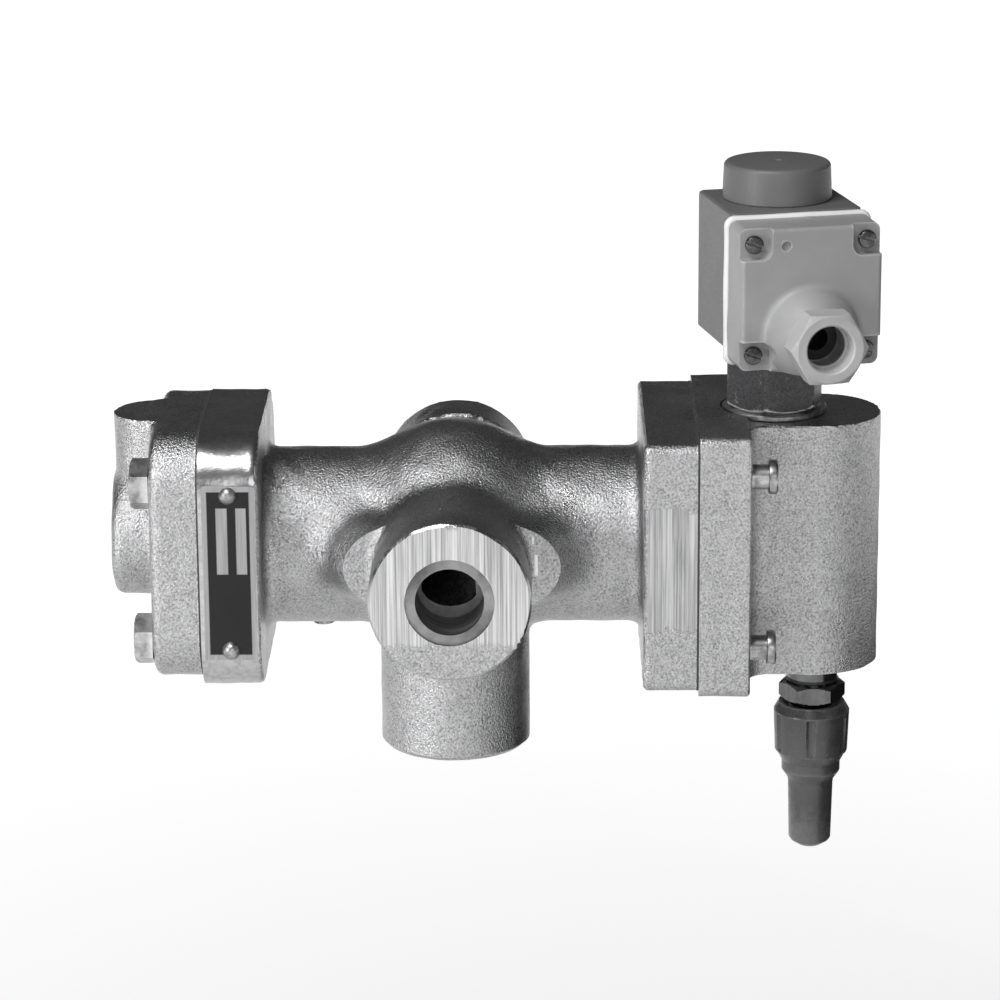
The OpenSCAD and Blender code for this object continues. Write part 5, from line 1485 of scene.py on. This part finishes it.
def pale_rim_finish():
    return finish("rim rubber", [plastic_layer(settings("valve_colours").rim, 1800.0, (0.5, 0.65))])


def cap_finish():
    colour = settings("valve_colours").cap
    mottled = plastic_layer(colour, 900.0, (0.22, 0.42), 0.1, 0.3)
    return finish("cap plastic", [mottled], edge_wear_and_highlight_tint=(shade(colour, 2.2), 0.25), edge_wear_and_highlight_range=(0.05, 0.2))


def copper_finish():
    return finish("wound copper", [layer(lined_skin, (0.5, 0.22, 0.1), (0.8, 0.42, 0.22), (0.3, 0.42), 0.05,
                                         Stretch=(60.0, 60.0, 1600.0))], metallic=1.0)


SLOT_FINISHES = {
    "cast_metal": cast_finish,
    "bright_steel": steel_finish,
    "dark_steel": dark_steel_finish,
    "brass": brass_finish,
    "plated_fitting": fitting_finish,
    "piston_alloy": alloy_finish,
    "disc_polymer": polymer_finish,
    "seal_rubber": seal_finish,
    "gasket_sheet": sheet_finish,
    "plate_finish": plate_finish,
    "coil_plastic": housing_finish,
    "cover_plastic": cover_finish,
    "gland_plastic": gland_finish,
    "rim_rubber": pale_rim_finish,
    "cap_plastic": cap_finish,
    "copper_wire": copper_finish,
}


class DressInnerParts(bpy.types.Operator):
    """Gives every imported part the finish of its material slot"""

    bl_idname = "valve.inner_parts"
    bl_label = "Packed parts"

    def execute(self, context):
        for part in frame["record"]["subparts"]:
            mesh = frame["nodes"][part["node"]].data
            material = SLOT_FINISHES[part["material_slot"]]()
            if mesh.materials:
                mesh.materials[0] = material
            else:
                mesh.materials.append(material)
        return {"FINISHED"}


class MakeBody(bpy.types.Operator):
    """Cast body with its ports and flanges"""

    bl_idname = "valve.body"
    bl_label = "Body"

    def execute(self, context):
        field, choose = body_field()
        finishes = [cast_finish, ground_finish, turned_finish, faced_finish, rim_finish, part_ground_finish]
        cube = settings("valve_castings").cube
        make_casting("body_casting", field, "valve_body", cube, finishes, choose)
        return {"FINISHED"}


class MakeLeftCover(bpy.types.Operator):
    """Cast left cover with its spring boss and column"""

    bl_idname = "valve.left_cover"
    bl_label = "Left cover"

    def execute(self, context):
        field, choose = left_cover_field()
        cube = settings("valve_castings").cube * COVER_CUBE_SHARE
        make_casting("left_cover_casting", field, "left_cover", cube, [cast_finish, faced_finish], choose)
        return {"FINISHED"}


class MakePilotHead(bpy.types.Operator):
    """Cast pilot head at the right end"""

    bl_idname = "valve.pilot_head"
    bl_label = "Pilot head"

    def execute(self, context):
        field, choose = pilot_head_field()
        cube = settings("valve_castings").cube * COVER_CUBE_SHARE
        make_casting("pilot_head_casting", field, "right_cover", cube, [cast_finish, faced_finish], choose)
        return {"FINISHED"}


class MakeLeftBolts(bpy.types.Operator):
    """Four hexagon bolts of the left cover"""

    bl_idname = "valve.left_bolts"
    bl_label = "Left bolts"

    def execute(self, context):
        fittings = settings("valve_fittings")
        seat = spans("left_cover_bolts")[0][0] + settings("valve_castings").bolt_head
        shape = four_at(left_bolt_shape(), fittings.bolt_span, fittings.bolt_pitch, seat, (-1, 0, 0))
        make_piece("left_bolts", shape, [steel_finish()], "valve", ["left_cover_bolts"], 20)
        return {"FINISHED"}


class MakeRightScrews(bpy.types.Operator):
    """Four collar screws of the pilot head"""

    bl_idname = "valve.right_screws"
    bl_label = "Right screws"

    def execute(self, context):
        fittings = settings("valve_fittings")
        top = fittings.neck_length + settings("valve_castings").screw_head
        seat = spans("right_cover_bolts")[1][0] - top
        shape = four_at(right_screw_shape(), fittings.screw_span, fittings.screw_pitch, seat, (1, 0, 0))
        steel = [steel_finish()]
        make_piece("right_screws", shape, steel, "valve", ["right_cover_bolts"], 24)
        return {"FINISHED"}


class MakePilotNut(bpy.types.Operator):
    """Hexagon pilot nut and the bright washer under it"""

    bl_idname = "valve.pilot_nut"
    bl_label = "Pilot nut and washer"

    def execute(self, context):
        steel, dark = [steel_finish()], [dark_steel_finish()]
        make_piece("nut_washer", washer_shape(), steel, "valve", ["pilot_washer"], 30)
        make_piece("hexagon_nut", pilot_nut_shape(), dark, "valve", ["pilot_nut"], 20)
        return {"FINISHED"}


class MakeCoil(bpy.types.Operator):
    """Coil housing, its round cap and the pale rim"""

    bl_idname = "valve.coil"
    bl_label = "Coil housing"

    def execute(self, context):
        plastic = [housing_finish()]
        shape = traced(coil_housing_field(), FINE_CUBE["housing"])
        make_piece("housing_shell", shape, plastic, "coil", ["coil_housing"])
        make_piece("round_cap", coil_cap_shape(), plastic, "coil", ["coil_cap"], 30)
        shape = traced(rim_field(), FINE_CUBE["rim"])
        make_piece("pale_rim", shape, [pale_rim_finish()], "coil", ["box_gasket"], 40)
        return {"FINISHED"}


class MakeTerminalCover(bpy.types.Operator):
    """Terminal cover with its hub, and its four slotted screws"""

    bl_idname = "valve.terminal_cover"
    bl_label = "Terminal cover"

    def execute(self, context):
        shape = traced(box_cover_field(), FINE_CUBE["cover"])
        make_piece("terminal_cover", shape, [cover_finish()], "coil", ["box_cover"], 40)
        shape = cover_screws_shape()
        make_piece("slotted_screws", shape, [screw_finish()], "coil", ["cover_screws"], 40)
        return {"FINISHED"}


class MakeGlandNut(bpy.types.Operator):
    """Cable gland nut in front of the hub"""

    bl_idname = "valve.gland_nut"
    bl_label = "Gland nut"

    def execute(self, context):
        plastic = [gland_finish()]
        make_piece("gland_hexagon", gland_nut_shape(), plastic, "gland", ["gland_nut"], 20)
        return {"FINISHED"}


class MakeDrain(bpy.types.Operator):
    """Drain fitting under the pilot head and its ribbed cap"""

    bl_idname = "valve.drain"
    bl_label = "Drain fitting and cap"

    def execute(self, context):
        shape = drain_adapter_shape()
        plated = [fitting_finish()]
        make_piece("drain_fitting", shape, plated, "valve", ["drain_adapter"], 20)
        shape = drain_cap_shape()
        make_piece("ribbed_cap", shape, [cap_finish()], "drain_cap", ["drain_cap"], 34)
        return {"FINISHED"}


class SetStage(bpy.types.Operator):
    """Pale floor, dark card on the right, hidden from the camera, soft lamps, surroundings and camera"""

    bl_idname = "valve.stage"
    bl_label = "Stage"

    def execute(self, context):
        size = settings("valve_stage")
        scene = context.scene
        mesh = bpy.data.meshes.new("floor")
        span = FLOOR_SPAN
        level = CAD_BOX[0][2] - size.floor_drop
        corners = [(-span, -span, level), (span, -span, level), (span, span, level), (-span, span, level)]
        mesh.from_pydata(corners, [], [(0, 1, 2, 3)])
        floor = bpy.data.objects.new("floor", mesh)
        scene.collection.objects.link(floor)
        mesh.materials.append(floor_finish())
        card = bpy.data.meshes.new("side_backdrop")
        side, top = size.side_place, level + CARD_HEIGHT
        outline = [(CARD_FRONT, top), (CARD_REAR, top), (CARD_REAR, level), (CARD_FRONT, level)]
        card.from_pydata([(side, y, z) for y, z in outline], [], [(0, 1, 2, 3)])
        backdrop = bpy.data.objects.new("side_backdrop", card)
        scene.collection.objects.link(backdrop)
        card.materials.append(side_finish())
        backdrop.visible_camera = False
        world = bpy.data.worlds.new("surroundings")
        scene.world = world
        world.use_nodes = True
        world.node_tree.nodes["Background"].inputs["Color"].default_value = (*[size.world_level] * 3, 1)
        aim = np.array(size.aim)
        for name, place, width, height, power in (
            ("key", (-0.5, -0.8, 1.45), 0.8, 0.6, 20.0),
            ("left", (-1.25, -1.05, 0.35), 0.5, 0.8, 14.0),
            ("front", (0.3, -1.9, 0.5), 1.1, 0.6, 5.0),
            ("right", (1.6, -1.0, 0.9), 0.2, 0.9, 1.5),
        ):
            lamp = bpy.data.lights.new(name, "AREA")
            lamp.shape, lamp.size, lamp.size_y, lamp.energy = "RECTANGLE", width, height, power
            item = bpy.data.objects.new(name, lamp)
            scene.collection.objects.link(item)
            item.location = aim + place
            item.rotation_euler = (-Vector(place)).to_track_quat("-Z", "Y").to_euler()
        camera = bpy.data.cameras.new("camera")
        camera.lens, camera.sensor_width = size.lens, 36.0
        viewer = bpy.data.objects.new("camera", camera)
        scene.collection.objects.link(viewer)
        level = math.cos(size.elevation)
        across, forth = math.sin(size.azimuth) * level, -math.cos(size.azimuth) * level
        back = Vector((across, forth, math.sin(size.elevation)))
        viewer.location = Vector(size.aim) + back * size.distance
        turned = (-back).to_track_quat("-Z", "Y") @ Quaternion((0.0, 0.0, 1.0), size.roll)
        viewer.rotation_euler = turned.to_euler()
        scene.camera = viewer
        scene.view_settings.view_transform = "Standard"
        return {"FINISHED"}


class ValvePanel(bpy.types.Panel):
    """Lists the valve's pieces"""

    bl_idname = "VIEW3D_PT_valve"
    bl_label = "Three-way solenoid valve"
    bl_space_type = "VIEW_3D"
    bl_region_type = "UI"
    bl_category = "Valve"

    def draw(self, context):
        for operator in OPERATORS:
            self.layout.operator(operator.bl_idname)


GROUPS = {
    "valve_castings": CastingSizes,
    "valve_fittings": FittingSizes,
    "valve_coil": CoilSizes,
    "valve_colours": FinishColours,
    "valve_stage": StageSettings,
}
OPERATORS = [
    DressInnerParts,
    MakeBody,
    MakeLeftCover,
    MakePilotHead,
    MakeLeftBolts,
    MakeRightScrews,
    MakePilotNut,
    MakeCoil,
    MakeTerminalCover,
    MakeGlandNut,
    MakeDrain,
    SetStage,
]


def register():
    for item in (*GROUPS.values(), *OPERATORS, ValvePanel):
        bpy.utils.register_class(item)
    for name, group in GROUPS.items():
        setattr(bpy.types.Scene, name, bpy.props.PointerProperty(type=group))


def unregister():
    for name in GROUPS:
        delattr(bpy.types.Scene, name)
    for item in (ValvePanel, *reversed(OPERATORS), *reversed(GROUPS.values())):
        bpy.utils.unregister_class(item)


def main():
    register()
    for operator in OPERATORS:
        group, call = operator.bl_idname.split(".")
        getattr(getattr(bpy.ops, group), call)()


if __name__ == "__main__":
    main()
